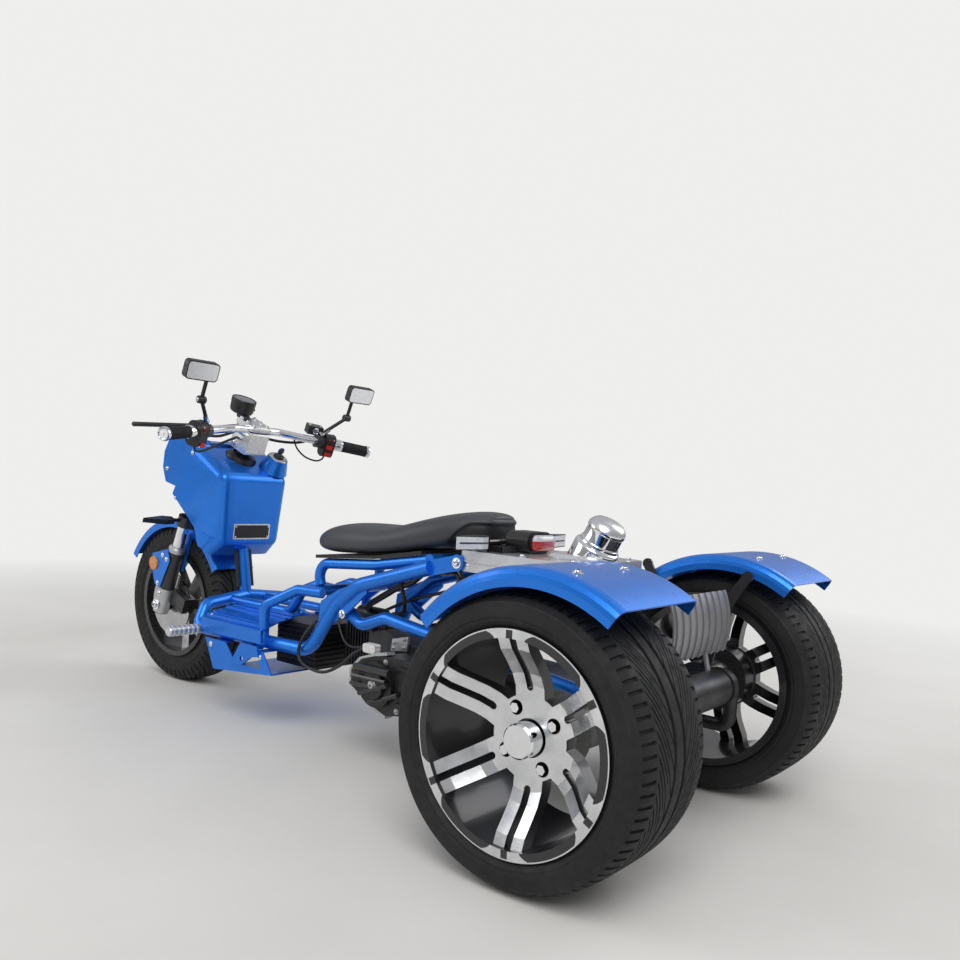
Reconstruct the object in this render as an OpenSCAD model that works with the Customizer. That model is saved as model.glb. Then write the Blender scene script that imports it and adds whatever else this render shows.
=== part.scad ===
/* [Stance] */
// Distance between the front and rear axles
wheelbase = 1574; // [1450:2:1700]
// Distance between the centres of the rear tyres
track = 740; // [680:2:820]

/* [Rear wheels] */
// Outside diameter of a rear tyre
rear_tyre_d = 497; // [470:1:520]
// Width of a rear tyre
rear_tyre_w = 235; // [200:1:250]
// Height of a rear tyre's wall, from its rim to its tread
rear_tyre_wall = 68.5; // [60:0.5:76]
// Wall of a rear rim's barrel
rear_rim_wall = 8; // [5:0.5:12]
// Pairs of spokes on a rear rim
spoke_pairs = 6; // [5:1:7]
// Width of one bar of a spoke pair
spoke_bar_w = 22; // [16:0.5:26]
// Slot between the two bars of a pair
spoke_slot_w = 13; // [8:0.5:18]
// Thickness of the spokes from front to back
spoke_t = 28; // [18:1:36]
// How far the lug face lies behind the rim's edge
dish_depth = 56; // [40:1:70]
// Diameter of the hub part of a rear rim
rim_hub_d = 146; // [130:1:160]
// Lug bolt circle
lug_pcd = 110; // [100:1:116]
// Lug bolts on each rear hub
lug_count = 4; // [3:1:5]
// Diameter of the recess round a lug nut
lug_hole_d = 26; // [22:0.5:30]
// Across the corners of a lug nut
lug_nut_d = 18; // [14:0.5:20]
// Diameter of the chrome hub cap
hub_cap_d = 60; // [50:1:66]
// How far the hub cap stands out of the lug face
hub_cap_proud = 34; // [20:1:44]
// Diameter of the half shafts
shaft_d = 30; // [24:1:36]

/* [Front wheel] */
// Outside diameter of the front tyre
front_tyre_d = 474; // [450:1:490]
// Width of the front tyre
front_tyre_w = 120; // [100:1:130]
// Height of the front tyre's wall, from its rim to its tread
front_tyre_wall = 82; // [72:0.5:90]
// Spokes on the front rim
front_spokes = 5; // [4:1:8]
// Diameter of the front axle
front_axle_d = 15; // [12:0.5:20]
// Diameter of the front brake disc
disc_d = 190; // [170:1:210]

/* [Steering] */
// Angle of the steering axis from upright
rake = 21.9; // [18:0.1:26]
// Distance of the fork legs ahead of the steering axis
fork_offset = 40; // [34:0.5:46]
// Distance between the fork legs
fork_spread = 190; // [180:1:200]
// Diameter of the fork stanchions
stanchion_d = 32; // [26:1:36]
// Diameter of the fork sliders
slider_d = 44; // [38:1:48]
// Length of a slider above the axle
slider_l = 180; // [150:1:200]
// Height of the crown's top above the front tyre, along the fork
crown_top = 55; // [49:1:59]
// Thickness of the crown
crown_t = 32; // [24:1:34]
// Outside diameter of the head tube
head_d = 52; // [46:1:58]
// Diameter of the steering stem
stem_d = 36; // [30:1:40]
// Length of the head tube
head_l = 178; // [150:1:182]
// Height of the handlebar above the crown's top, along the fork
bar_z = 308; // [288:1:338]
// Set-back of the handlebar's middle from the steering axis
bar_back = 36; // [24:1:50]
// Diameter of the handlebar
bar_d = 22; // [20:0.5:26]
// Width over the handlebar's ends
bar_w = 690; // [620:2:760]
// Straight middle of the handlebar
bar_mid_w = 150; // [130:1:180]
// How far the bar's ends sweep back
bar_sweep = 95; // [60:1:120]

/* [Frame tubes] */
// Diameter of the side rails
rail_d = 34; // [28:0.5:38]
// Diameter of the downtube
down_d = 34; // [28:0.5:38]
// Diameter of the floor and seat tubes
tube_d = 26; // [20:0.5:30]
// Half the distance between the lower rails
rail_y = 150; // [130:1:165]
// Height of the lower rails
rail_z = 222; // [205:1:240]
// Thickness of the frame's plates
plate_t = 6; // [4:0.5:9]

/* [Panels] */
// Thickness of sheet panels
sheet_t = 3; // [2:0.5:5]
// Half the width over the footboards
floor_half_w = 200; // [190:1:225]
// Front edge of the footboards, behind the front tyre
floor_front_x = 87; // [72:1:107]
// Rear edge of the footboards, ahead of the rear axle
floor_rear_x = 975; // [950:1:1000]

/* [Seat] */
// Length of the seat cushion
seat_l = 560; // [500:2:600]
// Width of the seat cushion
seat_w = 250; // [210:2:280]
// Height of the seat cushion at its hump
seat_h = 118; // [100:1:140]

/* [Hidden] */
$fn = 64;

// Paint and finish colours
blue = [0.05, 0.27, 0.66];
black = [0.05, 0.05, 0.06];
grey = [0.25, 0.25, 0.27];
silver = [0.75, 0.76, 0.78];
clear = [0.85, 0.88, 0.9];

// Gap between two pieces that seat on each other
fit = 0.3;
// Radial clearance of a shaft in its bearing
run_fit = 0.05;
// Length by which a cut passes the piece it cuts
over = 5;
// Swell of a tube at its bends, and the length its straight legs lap into them
bend_swell = 0.15;
bend_lap = 1;

rear_r = rear_tyre_d / 2;
front_r = front_tyre_d / 2;
// Diameters where the tyres sit on their rims
rear_seat_d = rear_tyre_d - 2 * rear_tyre_wall;
front_seat_d = front_tyre_d - 2 * front_tyre_wall;
overall_l = rear_r + wheelbase + front_r;
rear_axle_x = rear_r - overall_l / 2;

// Middle of one step in a row of like pieces
mid_share = 0.5;
// A path is a list of points joined by straight tubes and round bends.
function unit(v) = v / norm(v);
function flip_y(path) = [for (p = path) [p[0], -p[1], p[2]]];

// Heights above the front axle along the fork, and the head tube's foot and the front tyre's back,
// all ahead of the rear axle and above the ground.
head_gap = 10;
crown_z = front_r + crown_top;
bar_h = crown_z + bar_z;
head_base = crown_z + head_gap;
head_x = wheelbase - fork_offset * cos(rake) - head_base * sin(rake);
head_z = front_r - fork_offset * sin(rake) + head_base * cos(rake);
nose_x = wheelbase - front_r;
function from_head(p) = [head_x + p[0], head_z + p[1]];
function above_axle(p) = [p[0], rear_r + p[1]];

// Points of an outline given as shares of a length and a height, from a low corner.
function outline_at(shares, corner, l, h) = [for (s = shares) [corner[0] + s[0] * l, corner[1] + s[1] * h]];
// Points of a round corner, turned from one angle to another in equal steps.
function arc_at(mid, r, a0, a1, steps) =
  [for (k = [0:steps]) mid + r * [cos(a0 + (a1 - a0) * k / steps), sin(a0 + (a1 - a0) * k / steps)]];

module from_axle() {
  translate([rear_axle_x, 0, 0])
    children();
}

module both() {
  children();
  mirror([0, 1, 0])
    children();
}

module along(p, q) {
  d = unit(q - p);
  translate(p)
    rotate([0, acos(d[2]), atan2(d[1], d[0])])
      children();
}

module rod(p, q, r) {
  along(p, q)
    cylinder(h = norm(q - p), r = r);
}

// Length that a bend of a given radius takes from each leg at a corner.
function turn_at(a, b, c) = acos(min(1, max(-1, unit(b - a) * unit(c - b))));
function bend_reach(a, b, c, bend_r) = bend_r * tan(turn_at(a, b, c) / 2);

module elbow(a, b, c, r, bend_r) {
  u = unit(b - a);
  v = unit(c - b);
  turn = turn_at(a, b, c);
  side = unit(v - u * (u * v));
  mid = b - u * bend_reach(a, b, c, bend_r) + side * bend_r;
  n = cross(-side, u);
  multmatrix([
    [-side[0], u[0], n[0], mid[0]],
    [-side[1], u[1], n[1], mid[1]],
    [-side[2], u[2], n[2], mid[2]],
    [0, 0, 0, 1]])
    rotate_extrude(angle = turn)
      translate([bend_r, 0])
        circle(r = r + bend_swell);
}

module bent_tube(path, r, bend_r) {
  last = len(path) - 1;
  for (i = [0:last - 1]) {
    a = path[i];
    b = path[i + 1];
    d = unit(b - a);
    trim_a = i == 0 ? 0 : bend_reach(path[i - 1], a, b, bend_r) - bend_lap;
    trim_b = i == last - 1 ? 0 : bend_reach(a, b, path[i + 2], bend_r) - bend_lap;
    rod(a + d * trim_a, b - d * trim_b, r);
  }
  if (last > 1)
    for (i = [1:last - 1])
      elbow(path[i - 1], path[i], path[i + 1], r, bend_r);
}

// A plate standing upright along the trike, drawn in length and height.
module side_plate(outline, y0, t) {
  translate([0, y0 + t, 0])
    rotate([90, 0, 0])
      linear_extrude(height = t)
        polygon(outline);
}

module cross_bar(x, z, r, half) {
  translate([x, half, z])
    rotate([90, 0, 0])
      cylinder(h = 2 * half, r = r);
}

// Shares of a tyre's section: across the wall from seat to tread, and across half the width.
tyre_shares = [[0, 0.86], [0.15, 0.86], [0.24, 0.96], [0.5, 1], [0.76, 0.96], [0.93, 0.8], [1, 0.42]];
bead_share = 0.86;

module tyre(d, w, seat_d) {
  wall = (d - seat_d) / 2;
  half = [for (s = tyre_shares) [seat_d / 2 + s[0] * wall, s[1] * w / 2]];
  back = [for (i = [len(half) - 1:-1:0]) [half[i][0], -half[i][1]]];
  rotate_extrude()
    polygon(concat(half, back));
}

// Rear wheels, drawn with the axle upright and the outer side up.
rim_lip_t = 7;
rim_lip_h = 8;
rear_bead = bead_share * rear_tyre_w / 2;
rear_rim_half = rear_bead + fit + rim_lip_t;
rear_seat_r = rear_seat_d / 2 - fit;
rear_lip_r = rear_seat_r + rim_lip_h;
rear_inner_r = rear_seat_r - rear_rim_wall;
rim_hub_r = rim_hub_d / 2;
lug_face = rear_rim_half - dish_depth - rim_lip_t;
hub_seat = lug_face - spoke_t;
// Shares of the spokes' S-shaped dish: out along the spoke, and forward over the dish.
dish_shares = [[0, 0], [0.16, 0.03], [0.36, 0.2], [0.57, 0.5], [0.78, 0.82], [1, 1]];
spoke_angle = 27;
lug_angle = 57;
slot_start_share = 0.13;
cap_clearance = 3;

module rear_place(side) {
  from_axle()
    translate([0, side * track / 2, rear_r])
      mirror([0, side > 0 ? 0 : 1, 0])
        rotate([-90, 0, 0])
          children();
}

module spoke_pattern() {
  reach = rear_inner_r + rear_rim_wall / 2;
  pair_w = 2 * spoke_bar_w + spoke_slot_w;
  slot_start = rim_hub_r + slot_start_share * (rear_inner_r - rim_hub_r);
  difference() {
    union() {
      circle(r = rim_hub_r);
      for (i = [0:spoke_pairs - 1])
        rotate(-spoke_angle - i * 360 / spoke_pairs)
          translate([0, -pair_w / 2])
            square([reach, pair_w]);
    }
    for (i = [0:spoke_pairs - 1])
      rotate(-spoke_angle - i * 360 / spoke_pairs) {
        translate([slot_start, 0])
          circle(d = spoke_slot_w);
        translate([slot_start, -spoke_slot_w / 2])
          square([reach, spoke_slot_w]);
      }
  }
}

module rear_rim() {
  reach = rear_inner_r + rear_rim_wall / 2;
  front = [for (s = dish_shares) [rim_hub_r + s[0] * (reach - rim_hub_r), lug_face + s[1] * dish_depth]];
  back = [for (i = [len(front) - 1:-1:0]) [front[i][0], front[i][1] - spoke_t]];
  color(silver) {
    rotate_extrude()
      polygon([
        [rear_inner_r, -rear_rim_half],
        [rear_lip_r, -rear_rim_half],
        [rear_lip_r, -rear_bead - fit],
        [rear_seat_r, -rear_bead - fit],
        [rear_seat_r, rear_bead + fit],
        [rear_lip_r, rear_bead + fit],
        [rear_lip_r, rear_rim_half],
        [rear_inner_r, rear_rim_half]]);
    difference() {
      intersection() {
        rotate_extrude()
          polygon(concat([[0, lug_face]], front, back, [[0, hub_seat]]));
        translate([0, 0, hub_seat - over])
          linear_extrude(height = dish_depth + spoke_t + 2 * over)
            spoke_pattern();
      }
      translate([0, 0, hub_seat - over])
        cylinder(h = spoke_t + 2 * over, r = hub_cap_d / 2 + cap_clearance);
      for (i = [0:lug_count - 1])
        rotate(-lug_angle - i * 360 / lug_count)
          translate([lug_pcd / 2, 0, hub_seat - over])
            cylinder(h = spoke_t + 2 * over, d = lug_hole_d);
    }
  }
}

hub_drum_d = 140;
hub_drum_l = 54;
nut_proud = 6;
cap_bevel = 3;
stub_l = 200;

module rear_hub() {
  drum_top = hub_seat - fit;
  color(grey) {
    translate([0, 0, drum_top - hub_drum_l])
      cylinder(h = hub_drum_l, d = hub_drum_d);
    translate([0, 0, drum_top - hub_drum_l - stub_l])
      cylinder(h = stub_l + over, d = shaft_d);
    cap_l = lug_face + hub_cap_proud - drum_top + over;
    translate([0, 0, drum_top - over]) {
      cylinder(h = cap_l - cap_bevel, d = hub_cap_d);
      translate([0, 0, cap_l - cap_bevel])
        cylinder(h = cap_bevel, d1 = hub_cap_d, d2 = hub_cap_d - 2 * cap_bevel);
    }
    for (i = [0:lug_count - 1])
      rotate(-lug_angle - i * 360 / lug_count)
        translate([lug_pcd / 2, 0, drum_top - over])
          cylinder(h = lug_face + nut_proud - drum_top + over, d = lug_nut_d, $fn = 6);
  }
}

module rear_tyre_left() {
  color(black)
    rear_place(1)
      tyre(rear_tyre_d, rear_tyre_w, rear_seat_d);
}

module rear_tyre_right() {
  color(black)
    rear_place(-1)
      tyre(rear_tyre_d, rear_tyre_w, rear_seat_d);
}

module rear_rim_left() {
  rear_place(1)
    rear_rim();
}

module rear_rim_right() {
  rear_place(-1)
    rear_rim();
}

module rear_hub_left() {
  rear_place(1)
    rear_hub();
}

module rear_hub_right() {
  rear_place(-1)
    rear_hub();
}

// Rear axle
housing_d = 60;
drum_d = 100;
drum_l = 110;
case_d = 134;
case_w = 130;
hub_inner_y = track / 2 + hub_seat - fit - hub_drum_l;
housing_end_y = hub_inner_y - fit;
drum_in_y = housing_end_y - drum_l;

module axle_housing() {
  color(grey)
    from_axle()
      translate([0, 0, rear_r])
        rotate([90, 0, 0])
          difference() {
            union() {
              translate([0, 0, -housing_end_y])
                cylinder(h = 2 * housing_end_y, d = housing_d);
              translate([0, 0, -case_w / 2])
                cylinder(h = case_w, d = case_d);
              translate([0, 0, -housing_end_y])
                cylinder(h = drum_l, d = drum_d);
              translate([0, 0, drum_in_y])
                cylinder(h = drum_l, d = drum_d);
            }
            translate([0, 0, -housing_end_y - over])
              cylinder(h = stub_l + 2 * over, r = shaft_d / 2 + run_fit);
            translate([0, 0, housing_end_y - stub_l - over])
              cylinder(h = stub_l + 2 * over, r = shaft_d / 2 + run_fit);
          }
}

// Fenders: an arc of sheet with a lip on each side, about a point behind the axle
fender_gap = 47.5;
fender_r = rear_r + fender_gap;
fender_back = 31;
fender_drop = 5;
fender_lip = 33;
fender_margin = 4.5;
fender_inner_gap = 27.5;
fender_in_y = track / 2 - rear_tyre_w / 2 - fender_inner_gap;
fender_front_angle = 40;
fender_rear_angle = 123;
fender_out_y = track / 2 + rear_tyre_w / 2 + fender_margin;
fender_round = 20;
fender_steps = 4;

module rear_fenders() {
  w = fender_out_y - fender_in_y;
  mid_r = fender_r - fender_round;
  color(blue)
    from_axle()
      translate([-fender_back, 0, rear_r - fender_drop])
        both()
          translate([0, fender_in_y, 0])
            rotate([-90, 0, 0])
              rotate(-fender_rear_angle)
                rotate_extrude(angle = fender_rear_angle - fender_front_angle)
                  polygon(concat(
                    [[fender_r - fender_lip, 0]],
                    arc_at([mid_r, fender_round], fender_round, -90, 0, fender_steps),
                    arc_at([mid_r, w - fender_round], fender_round, 0, 90, fender_steps),
                    [[fender_r - fender_lip, w], [fender_r - fender_lip, w - sheet_t]],
                    arc_at([mid_r, w - fender_round], fender_round - sheet_t, 90, 0, fender_steps),
                    arc_at([mid_r, fender_round], fender_round - sheet_t, 0, -90, fender_steps),
                    [[fender_r - fender_lip, sheet_t]]));
}

// Flat bars from the axle drums to the fenders' inner lips
stay_w = 22;
// Places from the axle: front end, front knee, rear end, middle and low knee
stay_steps = [[140, 253.5], [99, 183.5], [-95, 249.5], [-65, 200.5], [-40, 126.5]];
stay_bars = [[0, 1], [1, 3], [2, 3], [3, 4]];
stay_foot_x = -20;

// A flat bar between two points, with an eye a little wider than the bar at each end.
eye_share = 1.08;
module bar_2d(p, q, w) {
  d = q - p;
  translate(p)
    rotate(atan2(d[1], d[0])) {
      translate([0, -w / 2])
        square([norm(d), w]);
      circle(d = eye_share * w);
    }
  translate(q)
    circle(d = eye_share * w);
}

module fender_stays() {
  foot = [stay_foot_x, rear_r + drum_d / 2 - over];
  color(black)
    from_axle()
      both()
        difference() {
          translate([0, fender_in_y - fit, 0])
            rotate([90, 0, 0])
              linear_extrude(height = plate_t) {
                for (b = stay_bars)
                  bar_2d(above_axle(stay_steps[b[0]]), above_axle(stay_steps[b[1]]), stay_w);
                bar_2d(above_axle(stay_steps[len(stay_steps) - 1]), foot, stay_w);
              }
          translate([0, fender_in_y, rear_r])
            rotate([90, 0, 0])
              cylinder(h = fender_in_y, r = drum_d / 2 + fit);
        }
}

// Side rails: stations ahead of the rear axle and heights above the ground
rail_back = 137;
rail_front_x = nose_x - rail_back;
kick_x = 848;
gusset_low = [775, 345];
gusset_top = [700, 402];
upper_end = [480, 468];
upper_y = 135;
tail_bolt = [406, 486];
end_plate_h = 34;
rail_bend = 60;
hoop_foot_x = 990;
hoop_foot_y = 178;
hoop_knee_z = 318;
hoop_top = [899, 367];
hoop_bend = 50;
gusset_corner = [672, 292];
gusset_l = 162;
gusset_h = 123;
gusset_shares = [[1, 0], [0.963, 0.455], [0.623, 0.715], [0.216, 0.943], [0, 1], [0, 0.764],
  [0.407, 0.293], [0.667, 0.065]];
pivot = [751, 326];

// The lower rails splay towards the front hoop.
rail_splay = 0.074;
function rail_at(x) = rail_y + (x - kick_x) * rail_splay;

module frame_rails() {
  plate_y = upper_y + plate_t / 2;
  color(blue)
    from_axle()
      both() {
        bent_tube([
          [rail_front_x, rail_at(rail_front_x), rail_z],
          [kick_x, rail_y, rail_z],
          [gusset_low[0], upper_y, gusset_low[1]],
          [gusset_top[0], upper_y, gusset_top[1]],
          [upper_end[0], upper_y, upper_end[1]]], rail_d / 2, rail_bend);
        side_plate(outline_at(gusset_shares, gusset_corner, gusset_l, gusset_h), upper_y - plate_t / 2, plate_t);
        translate([0, plate_y, 0])
          rotate([90, 0, 0])
            linear_extrude(height = plate_t)
              bar_2d([upper_end[0] + end_plate_h, upper_end[1] - end_plate_h / 4], tail_bolt, end_plate_h);
        bent_tube([
          [hoop_foot_x, hoop_foot_y, rail_z],
          [hoop_foot_x, hoop_foot_y, hoop_knee_z],
          [hoop_top[0], rail_y, hoop_top[1]],
          [gusset_low[0] + hoop_bend, upper_y, hoop_top[1]]], tube_d / 2, hoop_bend / 2);
        rod([hoop_foot_x, rail_y, rail_z], [hoop_foot_x, hoop_foot_y + tube_d / 2, rail_z], tube_d / 2);
      }
  color(blue)
    from_axle()
      side_bracket();
}

// Bracket with an eye beside the left rail: shares back along its length and down its height
bracket_front_x = 1082;
bracket_l = 108;
bracket_top_z = 216;
bracket_h = 60;
bracket_eye_d = 13;
bracket_arm_d = 18;
bracket_gap = 1;
bracket_shares = [[0, 0.9], [0.08, 1], [0.38, 0.97], [0.73, 0.52], [1, 0.43], [0.94, 0], [0.33, 0]];
bracket_eye_shares = [0.39, 0.68];
bracket_arm_shares = [0.62, 0.13];
function bracket_at(s) = [bracket_front_x - s[0] * bracket_l, bracket_top_z - s[1] * bracket_h];

module side_bracket() {
  eye = bracket_at(bracket_eye_shares);
  arm = bracket_at(bracket_arm_shares);
  y = floor_half_w + bracket_gap;
  difference() {
    side_plate([for (s = bracket_shares) bracket_at(s)], y, plate_t);
    translate([eye[0], y + plate_t + over, eye[1]])
      rotate([90, 0, 0])
        cylinder(h = plate_t + 2 * over, d = bracket_eye_d);
  }
  rod([arm[0], rail_at(arm[0]), arm[1]], [arm[0], y + plate_t / 2, arm[1]], bracket_arm_d / 2);
}

// Spine: head tube, downtube, front hoop and twin floor tubes
down_foot_back = 35;
down_foot = [nose_x - down_foot_back, 294];
down_knee_step = [-96, -62];
down_knee = from_head(down_knee_step);
down_head_step = [-34, 88];
down_head = from_head(down_head_step);
hoop_back_x = 71;
hoop_front_x = nose_x - hoop_back_x;
shoulder_back = 56;
hoop_shoulder = [nose_x - shoulder_back, 145, 280];
hoop_front_bend = 30;
spine_y = 60;
spine_z = 286;
spine_rise_x = 1030;
spine_crest = [930, 371];
spine_step = [985, 350];
spine_end = [865, 367];
spine_bend = 40;
box_bar_d = 20;
box_bar_rise = 98;
box_bar_z = head_base + box_bar_rise;

module steer_place() {
  from_axle()
    translate([wheelbase, 0, front_r])
      rotate([0, -rake, 0])
        children();
}

module frame_spine() {
  hoop_half = [
    [rail_front_x + fit, rail_at(rail_front_x + fit), rail_z],
    [hoop_front_x, rail_at(hoop_front_x), rail_z],
    hoop_shoulder];
  hoop_back = flip_y([for (i = [len(hoop_half) - 1:-1:0]) hoop_half[i]]);
  color(blue) {
    difference() {
      union() {
        steer_place()
          translate([-fork_offset, 0, head_base])
            cylinder(h = head_l, d = head_d);
        from_axle()
          bent_tube([
            [down_foot[0], 0, down_foot[1]],
            [down_knee[0], 0, down_knee[1]],
            [down_head[0], 0, down_head[1]]], down_d / 2, spine_bend);
        steer_place()
          translate([-fork_offset - head_d / 2, box_bar_half, box_bar_z])
            rotate([90, 0, 0])
              cylinder(h = 2 * box_bar_half, d = box_bar_d);
      }
      steer_place()
        translate([-fork_offset, 0, head_base - over])
          cylinder(h = head_l + 2 * over, r = stem_d / 2 + run_fit);
    }
    from_axle() {
      bent_tube(concat(hoop_half, [[down_foot[0], 0, down_foot[1]]], hoop_back), rail_d / 2, hoop_front_bend);
      both()
        bent_tube([
          [hoop_shoulder[0] + tube_d, spine_y, spine_z],
          [spine_rise_x, spine_y, spine_z],
          [spine_step[0], spine_y, spine_step[1]],
          [spine_crest[0], spine_y, spine_crest[1]],
          [spine_end[0], spine_y, spine_end[1]]], tube_d / 2, spine_bend);
      cross_bar(spine_end[0], spine_end[1], tube_d / 2, spine_bar_half);
    }
  }
}
spine_bar_half = rail_y - tube_d - plate_t - fit;

// Seat tubes
seat_tube_y = 105;
seat_leg_x = 866;
seat_knee = [884, 434];
seat_dip = [673, 452];
seat_end = [500, 482];
seat_bend = 35;
seat_bar_half = 119;

module seat_rails() {
  color(blue)
    from_axle() {
      both()
        bent_tube([
          [seat_leg_x, seat_tube_y, spine_end[1] + tube_d / 2 + bend_lap],
          [seat_knee[0], seat_tube_y, seat_knee[1]],
          [seat_dip[0], seat_tube_y, seat_dip[1]],
          [seat_end[0], seat_tube_y, seat_end[1]]], tube_d / 2, seat_bend);
      cross_bar(seat_end[0], seat_end[1], tube_d / 2, seat_bar_half);
    }
}

// Footboards
floor_low_z = 222;
floor_edge_z = 256;
floor_crease_y = 145;
floor_crease_z = 274;
floor_inner_y = spine_y + tube_d / 2 + fit;
floor_inner_z = spine_z;
ridge_h = 4;
// Ridges on the board's outer and inner slopes, as shares across each
outer_ridge_shares = [[0.3, 0.44], [0.62, 0.76]];
inner_ridge_shares = [[0.3, 0.42], [0.62, 0.74]];
function ridge(a, b, s) =
  [a + (b - a) * s[0], a + (b - a) * s[0] + [0, ridge_h], a + (b - a) * s[1] + [0, ridge_h], a + (b - a) * s[1]];

module floor_panel() {
  edge = [floor_half_w, floor_edge_z];
  crease = [floor_crease_y, floor_crease_z];
  inner = [floor_inner_y, floor_inner_z + sheet_t / 2];
  color(blue)
    from_axle()
      both()
        difference() {
          translate([floor_rear_x, 0, 0])
            rotate([90, 0, 90])
              linear_extrude(height = floor_end_x - floor_rear_x)
                polygon(concat(
                  [[floor_half_w, floor_low_z], edge],
                  [for (s = outer_ridge_shares) each ridge(edge, crease, s)],
                  [crease],
                  [for (s = inner_ridge_shares) each ridge(crease, inner, s)],
                  [inner, inner - [0, sheet_t]],
                  [crease - [0, sheet_t], edge - [sheet_t, sheet_t], [floor_half_w - sheet_t, floor_low_z]]));
          translate([hoop_foot_x, hoop_foot_y, floor_low_z])
            cylinder(h = 2 * (floor_edge_z - floor_low_z), r = tube_d / 2 + fit);
        }
}
floor_end_x = nose_x - floor_front_x - tube_d;

// Belly pan
pan_front = [1205, 1167];
pan_rear = [990, 964, 927];
pan_low_front_z = 126;
pan_low_rear_z = 150;
pan_notch = [1117, 1074, 969];
pan_notch_z = 158;
pan_ear_w = 50;

module belly_pan() {
  top = rail_z - rail_d / 2 - fit;
  color(blue)
    from_axle() {
      both() {
        side_plate([
          [pan_front[0], top],
          [pan_notch[0], top],
          [pan_notch[1], pan_notch_z],
          [pan_notch[2], pan_notch_z],
          [pan_rear[0], top],
          [pan_rear[1], top],
          [pan_rear[2], pan_low_rear_z],
          [pan_front[1], pan_low_front_z]], floor_half_w - sheet_t, sheet_t);
        translate([pan_notch[0], rail_y, top - sheet_t])
          cube([pan_ear_w, floor_half_w - rail_y, sheet_t]);
        translate([pan_rear[1], rail_y - rail_d / 2, top - sheet_t])
          cube([pan_rear[0] - pan_rear[1], floor_half_w - rail_y + rail_d / 2, sheet_t]);
      }
      side_plate([
        [pan_rear[2], pan_low_rear_z],
        [pan_front[1], pan_low_front_z],
        [pan_front[1] + sheet_t / 2, pan_low_front_z + sheet_t],
        [pan_rear[2] + sheet_t, pan_low_rear_z + sheet_t]], -floor_half_w + sheet_t / 2, 2 * floor_half_w - sheet_t);
    }
}

// Foot pegs
peg_d = 26;
peg_l = 90;
peg_gap = 2;
peg_x = floor_end_x + peg_d / 2 + peg_gap;

module foot_pegs() {
  color(silver)
    from_axle()
      both()
        translate([peg_x, rail_at(peg_x + peg_d / 2) + rail_d / 2 + fit, rail_z])
          rotate([-90, 0, 0])
            cylinder(h = peg_l, d = peg_d);
}

// Swinging arm
arm_d = 30;
arm_y = 112;
arm_dip = [708, 303];
arm_hump = [629, 332];
arm_tail_step = [12, 3.5];
arm_tail = above_axle(arm_tail_step);
arm_bend = 40;
eye_d = 24;

module swingarm() {
  color(blue)
    from_axle()
      both()
        difference() {
          union() {
            bent_tube([
              [pivot[0], arm_y, pivot[1]],
              [arm_dip[0], arm_y, arm_dip[1]],
              [arm_hump[0], arm_y, arm_hump[1]],
              [arm_tail[0], arm_y, arm_tail[1]]], arm_d / 2, arm_bend);
            translate([pivot[0], upper_y - plate_t / 2 - fit, pivot[1]])
              rotate([90, 0, 0])
                cylinder(h = upper_y - plate_t / 2 - fit - arm_y + arm_d / 2, d = eye_d);
          }
          translate([0, arm_y + arm_d, rear_r])
            rotate([90, 0, 0])
              cylinder(h = 2 * arm_d, r = housing_d / 2 + fit);
        }
}

// Shock absorbers
shock_foot_x = 310;
shock_rise = 21;
arm_slope = (arm_hump[1] - arm_tail[1]) / (arm_hump[0] - arm_tail[0]);
shock_low = [shock_foot_x, arm_tail[1] + (shock_foot_x - arm_tail[0]) * arm_slope + shock_rise];
shock_top = [452, 466];
shock_eye_d = 26;
shock_in_y = 72;
shock_rod_d = 16;
spring_d = 44;
spring_wire_d = 9;
spring_turns = 7;
spring_share = [0.25, 0.85];

function spring_at(i) =
  spring_share[0] + (spring_share[1] - spring_share[0]) * (i + mid_share) / spring_turns;

module rear_shocks() {
  axis_y = (shock_in_y + arm_y - arm_d / 2) / 2;
  a = [shock_low[0], axis_y, shock_low[1]];
  b = [shock_top[0], axis_y, shock_top[1]];
  color(black)
    from_axle()
      both() {
        rod(a, b, shock_rod_d / 2);
        rod(a + (b - a) * spring_share[0], a + (b - a) * spring_share[1], (spring_d - spring_wire_d) / 2);
        for (i = [0:spring_turns - 1])
          along(a + (b - a) * spring_at(i), b)
            rotate_extrude()
              translate([(spring_d - spring_wire_d) / 2, 0])
                circle(d = spring_wire_d);
        translate([shock_low[0], arm_y - arm_d / 2 - fit, shock_low[1]])
          rotate([90, 0, 0])
            cylinder(h = arm_y - arm_d / 2 - fit - shock_in_y, d = shock_eye_d);
        translate([shock_top[0], upper_y - plate_t / 2 - fit, shock_top[1]])
          rotate([90, 0, 0])
            cylinder(h = upper_y - plate_t / 2 - fit - shock_in_y, d = shock_eye_d);
      }
}

// Engine: crankcase, belt cover, cylinder and carburettor
case_left = 95;
case_right = 95;
case_corner = [20, 128];
case_l = 680;
case_h = 172;
case_shares = [[1, 0.448], [0.985, 0.128], [0.794, 0], [0.412, 0.128], [0, 0.535], [0, 0.779], [0.353, 0.779],
  [0.794, 0.855], [0.926, 1], [1, 0.913]];
case_front_x = case_corner[0] + case_l;
cover_t = 83;
cover_corner = [228, 126];
cover_l = 441;
cover_h = 135;
cover_shares = [[1, 0.622], [0.934, 0.844], [0.776, 0.985], [0.617, 1], [0.163, 0.933], [0.027, 0.815],
  [0, 0.585],
  [0.039, 0.341], [0.209, 0.178], [0.662, 0.044], [0.73, 0], [0.844, 0.104], [0.934, 0.252], [0.998, 0.37]];
// Ribs along the belt cover: start and end along its length, and height, as shares
cover_rib_shares = [[0.26, 0.66, 0.25], [0.24, 0.6, 0.4], [0.24, 0.58, 0.55], [0.24, 0.6, 0.7],
  [0.26, 0.66, 0.85]];
cover_rib_t = 6;
cover_rib_h = 7;
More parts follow.
